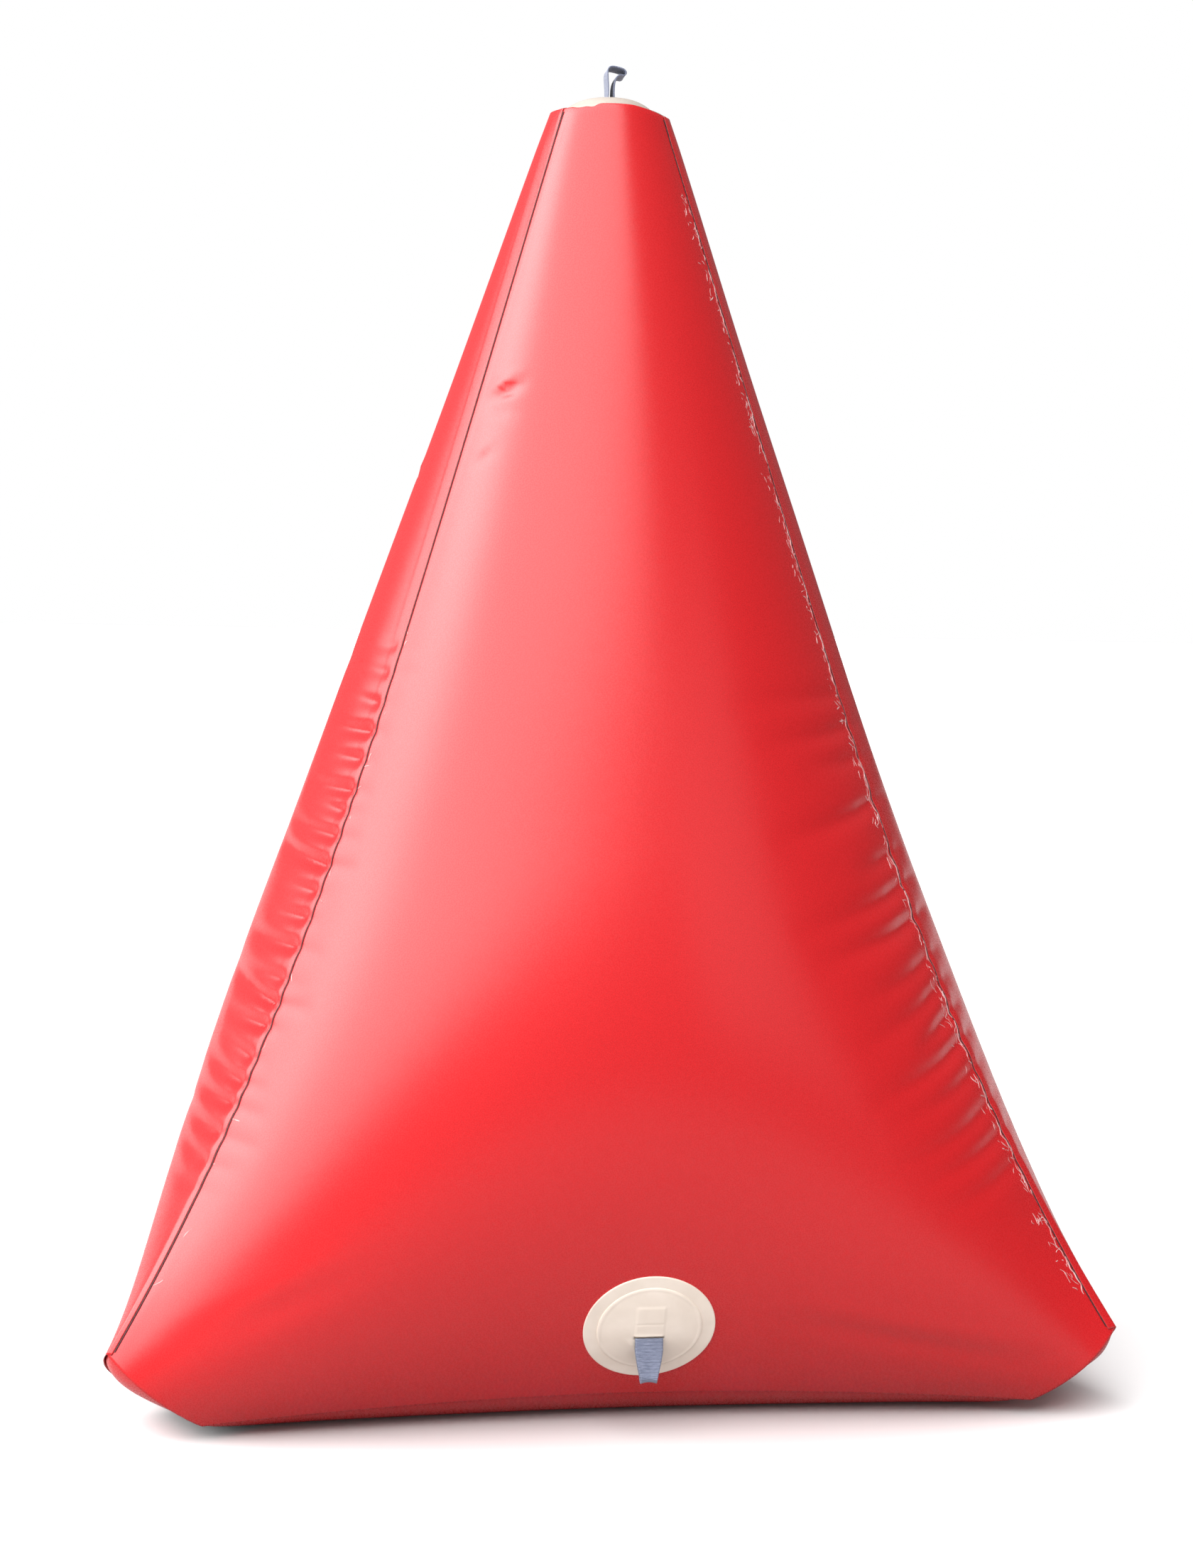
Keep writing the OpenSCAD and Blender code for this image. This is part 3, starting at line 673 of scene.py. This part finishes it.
def make_wall(face, left_lap, right_lap, left_up, right_up, cloth, edge):
    shares, beyond = wall_columns(left_lap, right_lap)
    count = len(shares) - 1

    def place(s, t):
        column = s * count
        u = np.interp(column, np.arange(count + 1), shares)
        d = np.interp(column, np.arange(count + 1), beyond)
        row = t * (WALL_ROWS + HEM_ROWS)
        level = np.clip(row / WALL_ROWS, 0, 1)
        edge_u = np.clip(np.abs(u + d / float(half_arc(CORNER_LIFT))), 0, 1)
        low = low_z(edge_u)
        z = low + (BODY_H - low) * row_heights(level)
        z = z - rim_dip(face, u) * np.clip((level - RIM_BLEND) / (1 - RIM_BLEND), 0, 1)
        near = 0.12 * half_arc(z) / TAPE_W
        d = d * np.minimum(1, near * 3)
        lap_lift = LAYER * (left_up * np.maximum(0, -u) ** 10 + right_up * np.maximum(0, u) ** 10)
        points = wall_point(face, u, d, z, SKIN + lap_lift)
        q = np.clip((row - WALL_ROWS) / HEM_ROWS, 0, 1)[:, None]
        inward = points * [1, 1, 0]
        reach = np.linalg.norm(inward, axis=1, keepdims=True)
        rolled = points - inward / reach * HEM * (1 - np.cos(q * math.pi / 2)) ** 0.8
        rolled[:, 2:] += 0.0026 * np.sin(q * math.pi / 2)
        return np.where(q > 0, rolled, points)

    name = FACES[face] + "_panel_cloth"
    piece = grid_piece(name, count, WALL_ROWS + HEM_ROWS, place, (1.0, 1.0), cloth)
    piece.data.materials.append(edge)
    faced(piece, outward(face, 0.3))
    thickened(piece, SKIN, 1)
    return piece


def make_base(cloth, edge):
    """Turned up inside the walls, rolled over the foot and flat on the ground."""
    around, rings = 216, 34
    flat_from = 1 - ROLL_IN / SEAM_REACH

    def place(s, t):
        third = np.minimum(2, np.floor(s * 3)).astype(int)
        u = (s * 3 - third) * 2 - 1
        low = low_z(u * FOOT_U)
        points = np.zeros((len(s), 3))
        turned_up = 0.12
        share = np.interp(t, [0, turned_up, 1], [1, 1, 0])
        up = np.interp(t, [0, turned_up], [TURN_UP, 0])
        k = (np.maximum(0, share - flat_from) / (1 - flat_from)) ** 2
        for face in FACES:
            mine = third == face
            if not mine.any():
                continue
            rim = wall_point(face, u[mine] * FOOT_U, 0, low[mine] + up[mine], -TUCK_GAP)
            ring = rim * share[mine][:, None]
            ring[:, 2] = np.where(t[mine] <= turned_up, rim[:, 2], low[mine] * k[mine])
            points[mine] = ring
        return points

    piece = grid_piece("base_panel_cloth", around, rings, place, (1.0, 1.0), cloth)
    piece.data.materials.append(edge)
    welded(piece, 0.0002)
    faced(piece, (0, 0, -1))
    thickened(piece, SKIN, 1)
    return piece


def make_corner_cap(name, face, cloth, edge):
    """A lens of cloth across the cut corner, puffed out by the air behind it."""

    def side(way, t):
        u = way * (FOOT_U + (1 - FOOT_U) * t)
        return wall_point((face + (way < 0)) % 3, u, 0, low_z(u) + CAP_TUCK, -TUCK_GAP)

    out = np.array([math.sin(math.radians(60)), -0.5, -1]) / math.sqrt(2)
    out = turned(out, face * SIDE)

    def place(s, t):
        t = t * 0.985
        a, b = side(1, t), side(-1, t)
        puff = CAP_BULGE * 4 * s * (1 - s) * 4 * (0.05 + 0.95 * t) * (1 - t)
        ripple = 0.0012 * np.sin(math.pi * s) * np.sin(9 * t + 4 * s) * np.sin(math.pi * np.clip(t, 0, 1))
        return a * (1 - s)[:, None] + b * s[:, None] + out * (puff + ripple)[:, None]

    piece = grid_piece(name + "_corner_cloth", 26, 36, place, (0.3, 0.3), cloth)
    piece.data.materials.append(edge)
    faced(piece, tuple(out))
    thickened(piece, SKIN, 1)
    return piece


def make_seam_tape(name, face, tape):
    def place(s, t):
        z = CORNER_LIFT + 0.02 + (BODY_H - CORNER_LIFT - 0.06) * t
        return wall_point(face, 1, (s - 0.5) * TAPE_W, z, -0.0006)

    piece = grid_piece(name + "_seam_strip", 8, 240, place, (TAPE_W, 1.8), tape)
    faced(piece, outward(face + 0.5, 0.3))
    thickened(piece, TAPE_T)
    return piece


def make_base_tape(name, face, tape):
    def place(s, t):
        u = (2 * s - 1) * 0.97 * FOOT_U
        return wall_point(face, u, 0, low_z(u) + TURN_UP - 0.010 + t * (TAPE_W - 0.004), -0.0026)

    piece = grid_piece(name + "_base_strip", 96, 6, place, (1.1, TAPE_W), tape)
    faced(piece, outward(face))
    thickened(piece, TAPE_T)
    return piece


def bag_pieces(mat):
    cloth, edge, tape = mat["cloth"], mat["edge"], mat["tape"]
    front = make_wall(FRONT, 0, 0, 0, 0, cloth, edge)
    left = make_wall(LEFT, 0, LEFT_LAP, 0, 1, cloth, edge)
    right = make_wall(RIGHT, RIGHT_LAP, REAR_LAP, 1, 1, cloth, edge)
    finished(front, "bag", "coated_fabric", "front_panel")
    finished(left, "bag", "coated_fabric", "left_panel")
    finished(right, "bag", "coated_fabric", "right_panel")
    cut_valve_hole(right)
    finished(make_base(cloth, edge), "bag", "coated_fabric", "base_panel")
    for name, face in (("left", LEFT), ("right", FRONT), ("rear", RIGHT)):
        cap = make_corner_cap(name, face, cloth, edge)
        finished(cap, "bag", "coated_fabric", name + "_corner_cap")
        strip = make_seam_tape(name, face, tape)
        finished(strip, "bag", "tape", name + "_seam_tape")
    for face, name in FACES.items():
        strip = make_base_tape(name, face, tape)
        finished(strip, "bag", "tape", name + "_base_tape")


VALVE_LIFT = BELLY_H - (BELLY_H - SEAM_LIFT) * (
    FACE_LEAN * (BELLY_H - SEAM_LIFT) / (TUCK * TUCK_POWER)) ** (1 / (TUCK_POWER - 1))


def cut_valve_hole(panel):
    """Leaves the right panel open where the valve's tube goes through."""
    centre = Vector(turned(np.array([0, -float(face_r(VALVE_LIFT)), VALVE_LIFT]), RIGHT * SIDE))
    bm = bmesh.new()
    bm.from_mesh(panel.data)
    near = [f for f in bm.faces if (f.calc_center_median() - centre).length < TUBE_OUT + 0.004]
    bmesh.ops.delete(bm, geom=near, context="FACES")
    bm.to_mesh(panel.data)
    bm.free()


# ---- Painted shadow lines and glue along the seams ---------------------------------------------

def glue_spots(name, face, way, offset, spread, count, low, high, seed, glue):
    """Short worms of squeezed-out glue, lying on the face beside a seam."""
    rng = np.random.default_rng(seed)
    bm = bmesh.new()
    for k in range(count):
        height = low + (high - low) * rng.random() ** 0.9
        aside = offset + abs(rng.normal(0, spread))
        turn = rng.normal(math.radians(80), 0.75)
        length = rng.uniform(0.003, 0.016)
        curl = rng.normal(0, 0.8)
        bead(bm, face, way, height, aside, turn, length, curl, rng.uniform(0.0004, 0.0010))
    finished(shown(name, bm, glue), "bag", "coated_fabric")


def bead(bm, face, way, height, aside, turn, length, curl, radius):
    """One worm: a flat tube of six rings, half sunk in the cloth."""
    steps, ring = 6, 6
    f = np.linspace(-0.5, 0.5, steps)
    x = aside + length * f * math.cos(turn) + curl * length * f ** 2
    z = height + length * f * math.sin(turn)
    made = bmesh.ops.create_grid(bm, x_segments=ring, y_segments=steps - 1, size=0.5)["verts"]
    s = np.array([v.co.x + 0.5 for v in made])
    t = np.array([v.co.y + 0.5 for v in made])
    here = np.clip(np.round(t * (steps - 1)).astype(int), 0, steps - 1)
    thick = radius * np.sin(math.pi * (0.12 + 0.76 * t)) ** 0.6
    a = math.pi * s
    off = SKIN - 0.0001 + thick * np.sin(a) * 0.9
    mm = x[here] + thick * np.cos(a) * math.sin(turn)
    zz = z[here] - thick * np.cos(a) * math.cos(turn)
    points = wall_point(face, way, -way * mm, zz, off)
    for vert, point in zip(made, points):
        vert.co = point


def seam_line(name, face, edge, side, span, radius, wobble, material):
    """A fine bead along a cut edge, up a span of heights; with wobble it wanders and thins out."""
    low, high = span

    def place(s, t):
        z = low + (high - low) * t
        a = 2 * math.pi * s
        wander = np.sin(71 * z) + 0.7 * np.sin(173 * z + 1) + 0.5 * np.sin(411 * z + 2)
        thick = radius * np.clip(1 + wobble * 350 * (np.sin(37 * z) + np.sin(97 * z + 2) - 0.4), 0.12, 1.2)
        return wall_point(face, edge, side + wobble * wander + thick * np.cos(a), z,
                          SKIN + 0.0003 + thick * np.sin(a) * 0.8)

    piece = grid_piece(name, 6, 900, place, (0.01, 1.8), material)
    welded(piece)
    finished(piece, "bag", "coated_fabric")


def seam_pieces(mat):
    """The dark line of painted shadow along each front lap's cut edge, and the glue squeezed out past it.
    """
    foot = CORNER_LIFT + 0.004
    groove, glue = mat["groove"], mat["glue"]
    left, right = LEFT_LAP + 0.0010, RIGHT_LAP + 0.0008
    # Both dark beads are painted shadow: the shade where the laps' cut edges stand over the cloth.
    seam_line("left_seam_shadow_line", LEFT, 1, left, (foot, BODY_H - 0.009), 0.0011, 0, groove)
    seam_line("right_seam_shadow_line", RIGHT, -1, -right, (foot, BODY_H - 0.015), 0.0009, 0, groove)
    seam_line("right_glue_line", RIGHT, -1, -right - 0.0037, (0.17, 1.70), 0.0009, 0.0018, glue)
    glue_spots("right_seam_glue", FRONT, 1, 0.014, 0.012, 330, 0.18, 1.74, 5, glue)
    glue_spots("left_seam_glue", FRONT, -1, 0.011, 0.004, 16, 0.20, 1.10, 6, glue)


# ---- Anchor patches ------------------------------------------------------------------

PATCH_U = PATCH_SHIFT / float(half_arc(PATCH_LIFT))
PATCH_NORMAL = face_normal(np.array([PATCH_U]), np.array([PATCH_LIFT]))[0]
PATCH_TURN = math.atan2(PATCH_NORMAL[0], -PATCH_NORMAL[1])
PATCH_TILT = math.asin(PATCH_NORMAL[2])
PATCH_POINT = face_point(np.array([PATCH_U]), np.array([PATCH_LIFT]))[0]


def on_patch(face, x, y, off):
    """A point over a patch: x across, y up the face from its middle."""
    return wall_point(face, 0, PATCH_SHIFT + x, PATCH_LIFT + y * math.cos(PATCH_TILT), off)


def disc_piece(name, rings, around, place, material):
    """A round sheet: rings by spokes from its middle to its rim, laid out by place(angle, t)."""
    piece = grid_piece(name, around, rings, lambda s, t: place(2 * math.pi * s, t), (1.0, 1.0), material)
    welded(piece, 0.00002)
    return piece


def top_and_rim(t, flat):
    """Splits a disc's rings: how far t runs over its top, then over its turned-down rim."""
    return np.minimum(1, t / flat), np.clip((t - flat) / (1 - flat), 0, 1)


def make_patch_base(face, material):
    def place(a, t):
        top, edge = top_and_rim(t, 0.86)
        r = PATCH_R * top + 0.0004 * np.sin(edge * math.pi / 2)
        off = LAYER + PATCH_T * (1 - edge ** 2) - 0.0003 * edge
        off = off - 0.0003 * bell(r - PATCH_R + 0.004, 0.0015) * (edge == 0)
        return on_patch(face, r * np.cos(a), r * np.sin(a), off)

    return disc_piece(FACES[face] + "_patch_disc", 26, 96, place, material)


def strap_strip(across):
    """1 over the strap's width and 0 beside it."""
    return ending(np.abs(across) - WEB_W / 2 - 0.0005, 0.0006)


def tent_height(x, y):
    """Height of the patch's cover over its base: pulled up to the slot, ridged at its weld."""
    r = np.hypot(x, y)
    share = np.clip(r / COVER_R, 0, 1)
    to_slot = np.hypot(x * 0.55, y + SLOT_DROP) / 0.045
    tent = 0.0016 * (1 - share ** 4) + 0.0040 * np.exp(-to_slot ** 1.5)
    ridge = 0.0007 * bell(r - COVER_R + 0.003, 0.0016)
    strip = strap_strip(x)
    tail = strip * ending(y - 0.040, 0.0006) * ending(-SLOT_DROP - 0.001 - y, 0.0008)
    stitch = strip * bell(y - 0.012, 0.0010)
    lip = strip * bell(y + SLOT_DROP - 0.0045, 0.0024)
    slit = strip * np.exp(-np.abs((y + SLOT_DROP) / 0.0026) ** 3)
    pull = 0.0016 * bell(x + y * 0.62 + 0.036, 0.006) * np.clip((-SLOT_DROP - y) / 0.012, 0, 1)
    pull = pull * np.clip((0.058 - r) / 0.012, 0, 1)
    return tent + ridge + 0.0009 * tail - 0.0006 * stitch + 0.0008 * lip - 0.0070 * slit + pull


def make_patch_cover(face, material):
    """The cover's mesh is closest round its slot, where the strap comes out."""
    def place(a, t):
        top, edge = top_and_rim(t, 0.94)
        toward = -SLOT_DROP * np.sin(a)
        reach = -toward + np.sqrt(toward ** 2 + COVER_R ** 2 - SLOT_DROP ** 2)
        far = top ** 1.25 * reach
        x, y = far * np.cos(a), -SLOT_DROP + far * np.sin(a)
        off = LAYER + PATCH_T + 0.0002 + tent_height(x, y) * (1 - edge) - 0.0006 * edge
        return on_patch(face, x, y, off)

    return disc_piece(FACES[face] + "_patch_cover", 60, 160, place, material)


def strap_path(length):
    """The strap's middle line in its side view, from its root round the eye and back."""
    far = length - EYE_R - WEB_T
    r = EYE_R + WEB_T / 2
    bend = [(WEB_T * 0.55, -0.0005), (WEB_T * 0.6, 0.004)]
    start = math.radians(-38)
    for k in range(25):
        a = start + (math.pi - 2 * start) * k / 24
        bend.append((r * math.cos(a), far + r * math.sin(a)))
    bend += [(-WEB_T * 0.6, 0.004), (-WEB_T * 0.55, -0.0005)]
    return bend


def smooth_line(points, count):
    """Points spread evenly along a rounded line through the given ones."""
    p = np.array(points, float)
    for _ in range(3):
        mid = np.empty((2 * len(p) - 2, p.shape[1]))
        mid[0::2] = 0.75 * p[:-1] + 0.25 * p[1:]
        mid[1::2] = 0.25 * p[:-1] + 0.75 * p[1:]
        p = np.vstack([p[:1], mid, p[-1:]])
    run = np.concatenate([[0], np.cumsum(np.linalg.norm(np.diff(p, axis=0), axis=1))])
    at = np.linspace(0, run[-1], count)
    return np.stack([np.interp(at, run, p[:, k]) for k in range(p.shape[1])], -1), run[-1]


def strap_piece(name, line, width_at, to_world, material):
    """A flat strap along a line in its side view; width_at gives its half width at each point."""
    count = 90
    path, length = smooth_line(line, count + 1)
    step = np.gradient(path, axis=0)
    step /= np.linalg.norm(step, axis=1, keepdims=True)
    normal = np.stack([step[:, 1], -step[:, 0]], -1)

    def place(s, t):
        row = np.clip(np.round(t * count).astype(int), 0, count)
        across = 2 * s - 1
        half, cup = width_at(path[row], t)
        round_edge = 0.0003 * across ** 8
        side = path[row] + normal[row] * (WEB_T / 2 - round_edge + cup * across ** 2)[:, None]
        return to_world(side[:, 0], across * half, side[:, 1])

    return grid_piece(name, 14, count, place, (WEB_W, length), material)


def make_patch_loop(face, material):
    turn = PATCH_TURN + face * SIDE
    root = PATCH_POINT + turned(np.array([
        0, -SLOT_DROP * math.sin(PATCH_TILT) - HINGE_OFF * math.cos(PATCH_TILT),
        -SLOT_DROP * math.cos(PATCH_TILT) + HINGE_OFF * math.sin(PATCH_TILT)]), PATCH_TURN)

    def to_world(depth, across, down):
        local = np.stack([across, depth, -down], -1)
        return turned(local + turned(root, -PATCH_TURN), turn)

    def width_at(path, t):
        down = np.clip(path[:, 1] / LOOP_LEN, 0, 1)
        half = WEB_W / 2 * (1 - 0.42 * np.clip((down - 0.25) / 0.65, 0, 1) ** 1.3)
        return half, 0.0022 * np.clip((down - 0.2) / 0.5, 0, 1)

    piece = strap_piece(FACES[face] + "_strap_loop", strap_path(LOOP_LEN), width_at, to_world, material)
    thickened(piece, WEB_T, even=True)
    return piece


def make_patch_tail(face, material):
    def place(s, t):
        x = (s - 0.5) * (WEB_W - 0.001)
        y = -SLOT_DROP + 0.0025 + t * 0.048
        rise = 0.0030 * bell(t, 0.06)
        return on_patch(face, x, y, LAYER + PATCH_T + 0.0001 + rise)

    piece = grid_piece(FACES[face] + "_strap_tail", 8, 24, place, (WEB_W, 0.05), material)
    faced(piece, outward(face, 0.4))
    thickened(piece, 0.0004)
    return piece


def patch_pieces(mat):
    for face, name in FACES.items():
        disc = make_patch_base(face, mat["patch"])
        faced(disc, outward(face, 0.4))
        finished(disc, "bag", "patch_pvc", name + "_anchor_base")
        cover = make_patch_cover(face, mat["patch"])
        faced(cover, outward(face, 0.4))
        finished(cover, "bag", "patch_pvc", name + "_anchor_cover")
        finished(make_patch_tail(face, mat["webbing"]), "bag", "webbing", name + "_anchor_tail")
        finished(make_patch_loop(face, mat["webbing"]), name + "_loop", "webbing", name + "_anchor_loop")


# ---- Top ---------------------------------------------------------------------------------

COVER_Z = BODY_H + 0.0001
TOP_HINGE_Z = COVER_Z + DOME_H + 0.0005 + WEB_T


def make_top_disc(material):
    def place(a, t):
        top, edge = top_and_rim(t, 0.9)
        r = (TOP_R - 0.001) * top + 0.0004 * np.sin(edge * math.pi / 2)
        x, y = r * np.cos(a), r * np.sin(a)
        return np.stack([x, y, BODY_H - 0.0002 - 0.0014 * edge ** 2 - rim_sag(x, y)], -1)

    piece = disc_piece("top_disc_sheet", 20, 96, place, material)
    faced(piece, (0, 0, 1))
    thickened(piece, PATCH_T - 0.0002)
    return piece


def dome_top(r):
    share = np.clip(r / COVER_R, 0, 1)
    return DOME_SHOWN * (1 - share ** 3.4)


def make_top_cover(material):
    def place(a, t):
        top, edge = top_and_rim(t, 0.95)
        r = COVER_R * top ** 1.2
        x, y = r * np.cos(a), r * np.sin(a)
        tent = 0.0030 * np.exp(-(np.hypot(x, y * 0.5) / 0.012) ** 1.5)
        slit = strap_strip(y) * np.exp(-np.abs(x / 0.0030) ** 3)
        ridge = 0.0008 * bell(r - COVER_R + 0.004, 0.0016)
        height = dome_top(r) + tent * 0.3 + ridge - 0.0065 * slit
        z = COVER_Z + height * (1 - edge) - rim_sag(x, y)
        return np.stack([x, y, z], -1)

    piece = disc_piece("top_cover_dome", 60, 144, place, material)
    faced(piece, (0, 0, 1))
    return piece


def make_top_tail(material):
    def place(s, t):
        x = (t - 0.5) * 0.060
        rise = 0.008 * bell(x, 0.004)
        return np.stack([x, (s - 0.5) * (WEB_W - 0.001), COVER_Z + 0.0006 + rise], -1)

    piece = grid_piece("top_strap_tail", 8, 60, place, (WEB_W, 0.07), material)
    faced(piece, (0, 0, 1))
    thickened(piece, 0.0004)
    return piece


def make_top_loop(material):
    """Stands up edge-on, with its end curled over to one side beside the eye."""
    far = TOP_LOOP_LEN - EYE_R - WEB_T
    up_one_side = [(-0.0060, -0.0005), (-0.0044, 0.008), (-0.0040, 0.020), (-0.0052, far - 0.008)]
    over = [(-0.0058, far + 0.002), (-0.0040, far + 0.0080), (0.002, far + 0.0095), (0.010, far + 0.0080)]
    curl = [(0.0185, far + 0.0060), (0.0225, far + 0.0010), (0.0190, far - 0.0035), (0.0130, far - 0.0020)]
    back = [(0.0075, far - 0.005), (0.0045, far - 0.013), (0.0036, 0.018)]
    back += [(0.0040, 0.008), (0.0058, -0.0005)]
    line = up_one_side + over + curl + back

    def to_world(depth, across, up):
        return np.stack([depth, across, TOP_HINGE_Z + up], -1)

    def width_at(path, t):
        return np.full(len(t), WEB_W / 2), np.zeros(len(t))

    piece = strap_piece("top_strap_loop", line, width_at, to_world, material)
    thickened(piece, WEB_T, even=True)
    return piece


def top_pieces(mat):
    finished(make_top_disc(mat["top_sheet"]), "bag", "patch_pvc", "top_disc")
    finished(make_top_cover(mat["top_sheet"]), "bag", "patch_pvc", "top_cover")
    finished(make_top_tail(mat["webbing"]), "bag", "webbing", "top_tail")
    finished(make_top_loop(mat["webbing"]), "top_loop", "webbing", "top_loop")


# ---- Valve ----------------------------------------------------------------------------------

def make_doubler(mat):
    def place(a, t):
        top, edge = top_and_rim(t, 0.92)
        hole = TUBE_OUT + 0.0015
        r = hole + (DOUBLER_R - hole) * top
        off = LAYER + SKIN - 0.0009 * edge ** 2
        return wall_point(RIGHT, 0, r * np.cos(a), VALVE_LIFT + r * np.sin(a), off)

    piece = disc_piece("valve_doubler_cloth", 18, 96, place, mat["cloth"])
    faced(piece, outward(RIGHT))
    thickened(piece, SKIN * 0.9)
    finished(piece, "bag", "coated_fabric", "valve_doubler")


def dress_hard_parts(mat):
    looks = {
        "valve_gasket": "rubber", "valve_body": "valve", "valve_ring_nut": "valve", "valve_seal": "rubber",
        "valve_plunger": "black", "valve_spring": "steel", "stem_clip": "steel", "valve_cap": "black",
        "cap_seal": "rubber", "tether_eye": "rubber", "cap_tether": "rubber",
    }
    for node, look in looks.items():
        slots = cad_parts[node].data.materials
        slots.clear()
        slots.append(mat[look])


# ---- Stage ------------------------------------------------------------------------------------

LENS_MM = 52.87
CAMERA_BACK = 3.5205
CAMERA_H = 1.1541
CAMERA_DOWN = math.radians(4.7558)
CAMERA_ROLL = math.radians(1.1313)
CAMERA_SHIFT = 0.0008
BAG_YAW = math.radians(8.259)
FILL_WATTS = 12
FILL_SIZE = 2.4
FILL_PLACE = (2.6, -3.2, 2.4)
FLOOR_SHOWN = (0.80, 0.80, 0.80)
FLOOR_LIT = (0.38, 0.38, 0.38)


def make_camera():
    data = bpy.data.cameras.new("camera")
    data.lens = LENS_MM
    data.sensor_width = 36.0
    data.sensor_fit = "AUTO"
    camera = bpy.data.objects.new("camera", data)
    bpy.context.scene.collection.objects.link(camera)
    aim = Matrix.Rotation(-BAG_YAW, 4, "Z")
    tilt = Matrix.Rotation(math.pi / 2 - CAMERA_DOWN, 4, "X")
    roll = Matrix.Rotation(CAMERA_ROLL, 4, "Z")
    place = Matrix.Translation((CAMERA_SHIFT, -CAMERA_BACK, CAMERA_H))
    camera.matrix_world = aim @ place @ tilt @ roll
    bpy.context.scene.camera = camera


def make_fill_light():
    data = bpy.data.lights.new("fill", "AREA")
    data.energy = FILL_WATTS
    data.shape = "RECTANGLE"
    data.size = data.size_y = FILL_SIZE
    light = bpy.data.objects.new("fill", data)
    bpy.context.scene.collection.objects.link(light)
    light.location = FILL_PLACE
    away = Vector(FILL_PLACE) - Vector((0, 0, 0.8))
    light.rotation_euler = away.to_track_quat("Z", "Y").to_euler()


def make_stage():
    """A pale floor that looks lighter than it bounces, in a plain studio."""
    bm = bmesh.new()
    bmesh.ops.create_grid(bm, x_segments=1, y_segments=1, size=60)
    mesh = bpy.data.meshes.new("floor")
    bm.to_mesh(mesh)
    bm.free()
    floor = bpy.data.objects.new("floor", mesh)
    bpy.context.scene.collection.objects.link(floor)
    material, tree, shader = new_material("pale_floor", FLOOR_SHOWN, 0.8)
    path = add(tree, "ShaderNodeLightPath")
    shade = tinted(tree, path.outputs["Is Camera Ray"], FLOOR_LIT, FLOOR_SHOWN)
    tree.links.new(shade, shader.inputs["Base Color"])
    mesh.materials.append(material)
    bpy.context.scene.view_settings.view_transform = "Standard"
    make_studio()


# The soft box's edges: the side each looks to, and where along it the box ends
BOX_LOWER_EDGE = ((-0.2667, 0.188, 1.0), 0.4566)
BOX_RIGHT_EDGE = ((-1.0, -0.485, 0.0), 0.0)
BOX_LEFT_EDGE = ((-0.643, -0.766, 0.0), 0.0)
BOX_EDGE_BLUR = 0.012
BOX_LIGHT = 4.6
HOT_AIM = (-0.816, 0.144, 0.559)
HOT_SPAN = (0.95, 0.99)
HOT_LIGHT = 4.5
ROOM_AIM = (-0.60, -0.38, 0.70)
ROOM_SPAN = (-0.8, 0.9)
ROOM_LIGHT = (0.06, 0.56)


def sky_share(tree, direction, aim, low, high, out_low=0.0, out_high=1.0):
    """How far a direction in the studio lies to the side that aim names."""
    dot = add(tree, "ShaderNodeVectorMath", operation="DOT_PRODUCT")
    dot.inputs[1].default_value = aim
    tree.links.new(direction, dot.inputs[0])
    return ramp(tree, dot.outputs["Value"], low, high, out_low, out_high)


def combined(tree, operation, first, second):
    node = add(tree, "ShaderNodeMath", operation=operation)
    for socket, value in zip(node.inputs, (first, second)):
        if isinstance(value, (int, float)):
            socket.default_value = value
        else:
            tree.links.new(value, socket)
    return node.outputs[0]


def make_studio():
    """A white room: one wide soft box over the left, a brighter pane in it, dim at the right."""
    world = bpy.data.worlds.new("studio")
    world.use_nodes = True
    tree = world.node_tree
    background = tree.nodes["Background"]
    background.inputs["Color"].default_value = (1, 1, 1, 1)
    direction = add(tree, "ShaderNodeTexCoord").outputs["Generated"]
    box = BOX_LIGHT
    for aim, level in (BOX_LOWER_EDGE, BOX_RIGHT_EDGE, BOX_LEFT_EDGE):
        within = sky_share(tree, direction, aim, level - BOX_EDGE_BLUR, level + BOX_EDGE_BLUR)
        box = combined(tree, "MULTIPLY", within, box)
    hot = sky_share(tree, direction, HOT_AIM, *HOT_SPAN, 0, HOT_LIGHT)
    room = sky_share(tree, direction, ROOM_AIM, *ROOM_SPAN, *ROOM_LIGHT)
    light = combined(tree, "ADD", combined(tree, "ADD", box, hot), room)
    path = add(tree, "ShaderNodeLightPath")
    mix = tree.nodes.new("ShaderNodeMix")
    tree.links.new(path.outputs["Is Camera Ray"], mix.inputs[0])
    tree.links.new(light, mix.inputs[2])
    mix.inputs[3].default_value = 1.0
    tree.links.new(mix.outputs[0], background.inputs["Strength"])
    bpy.context.scene.world = world


def main():
    make_camera()
    mat = make_materials()
    bag_pieces(mat)
    seam_pieces(mat)
    patch_pieces(mat)
    top_pieces(mat)
    make_doubler(mat)
    dress_hard_parts(mat)
    make_stage()
    make_fill_light()


main()
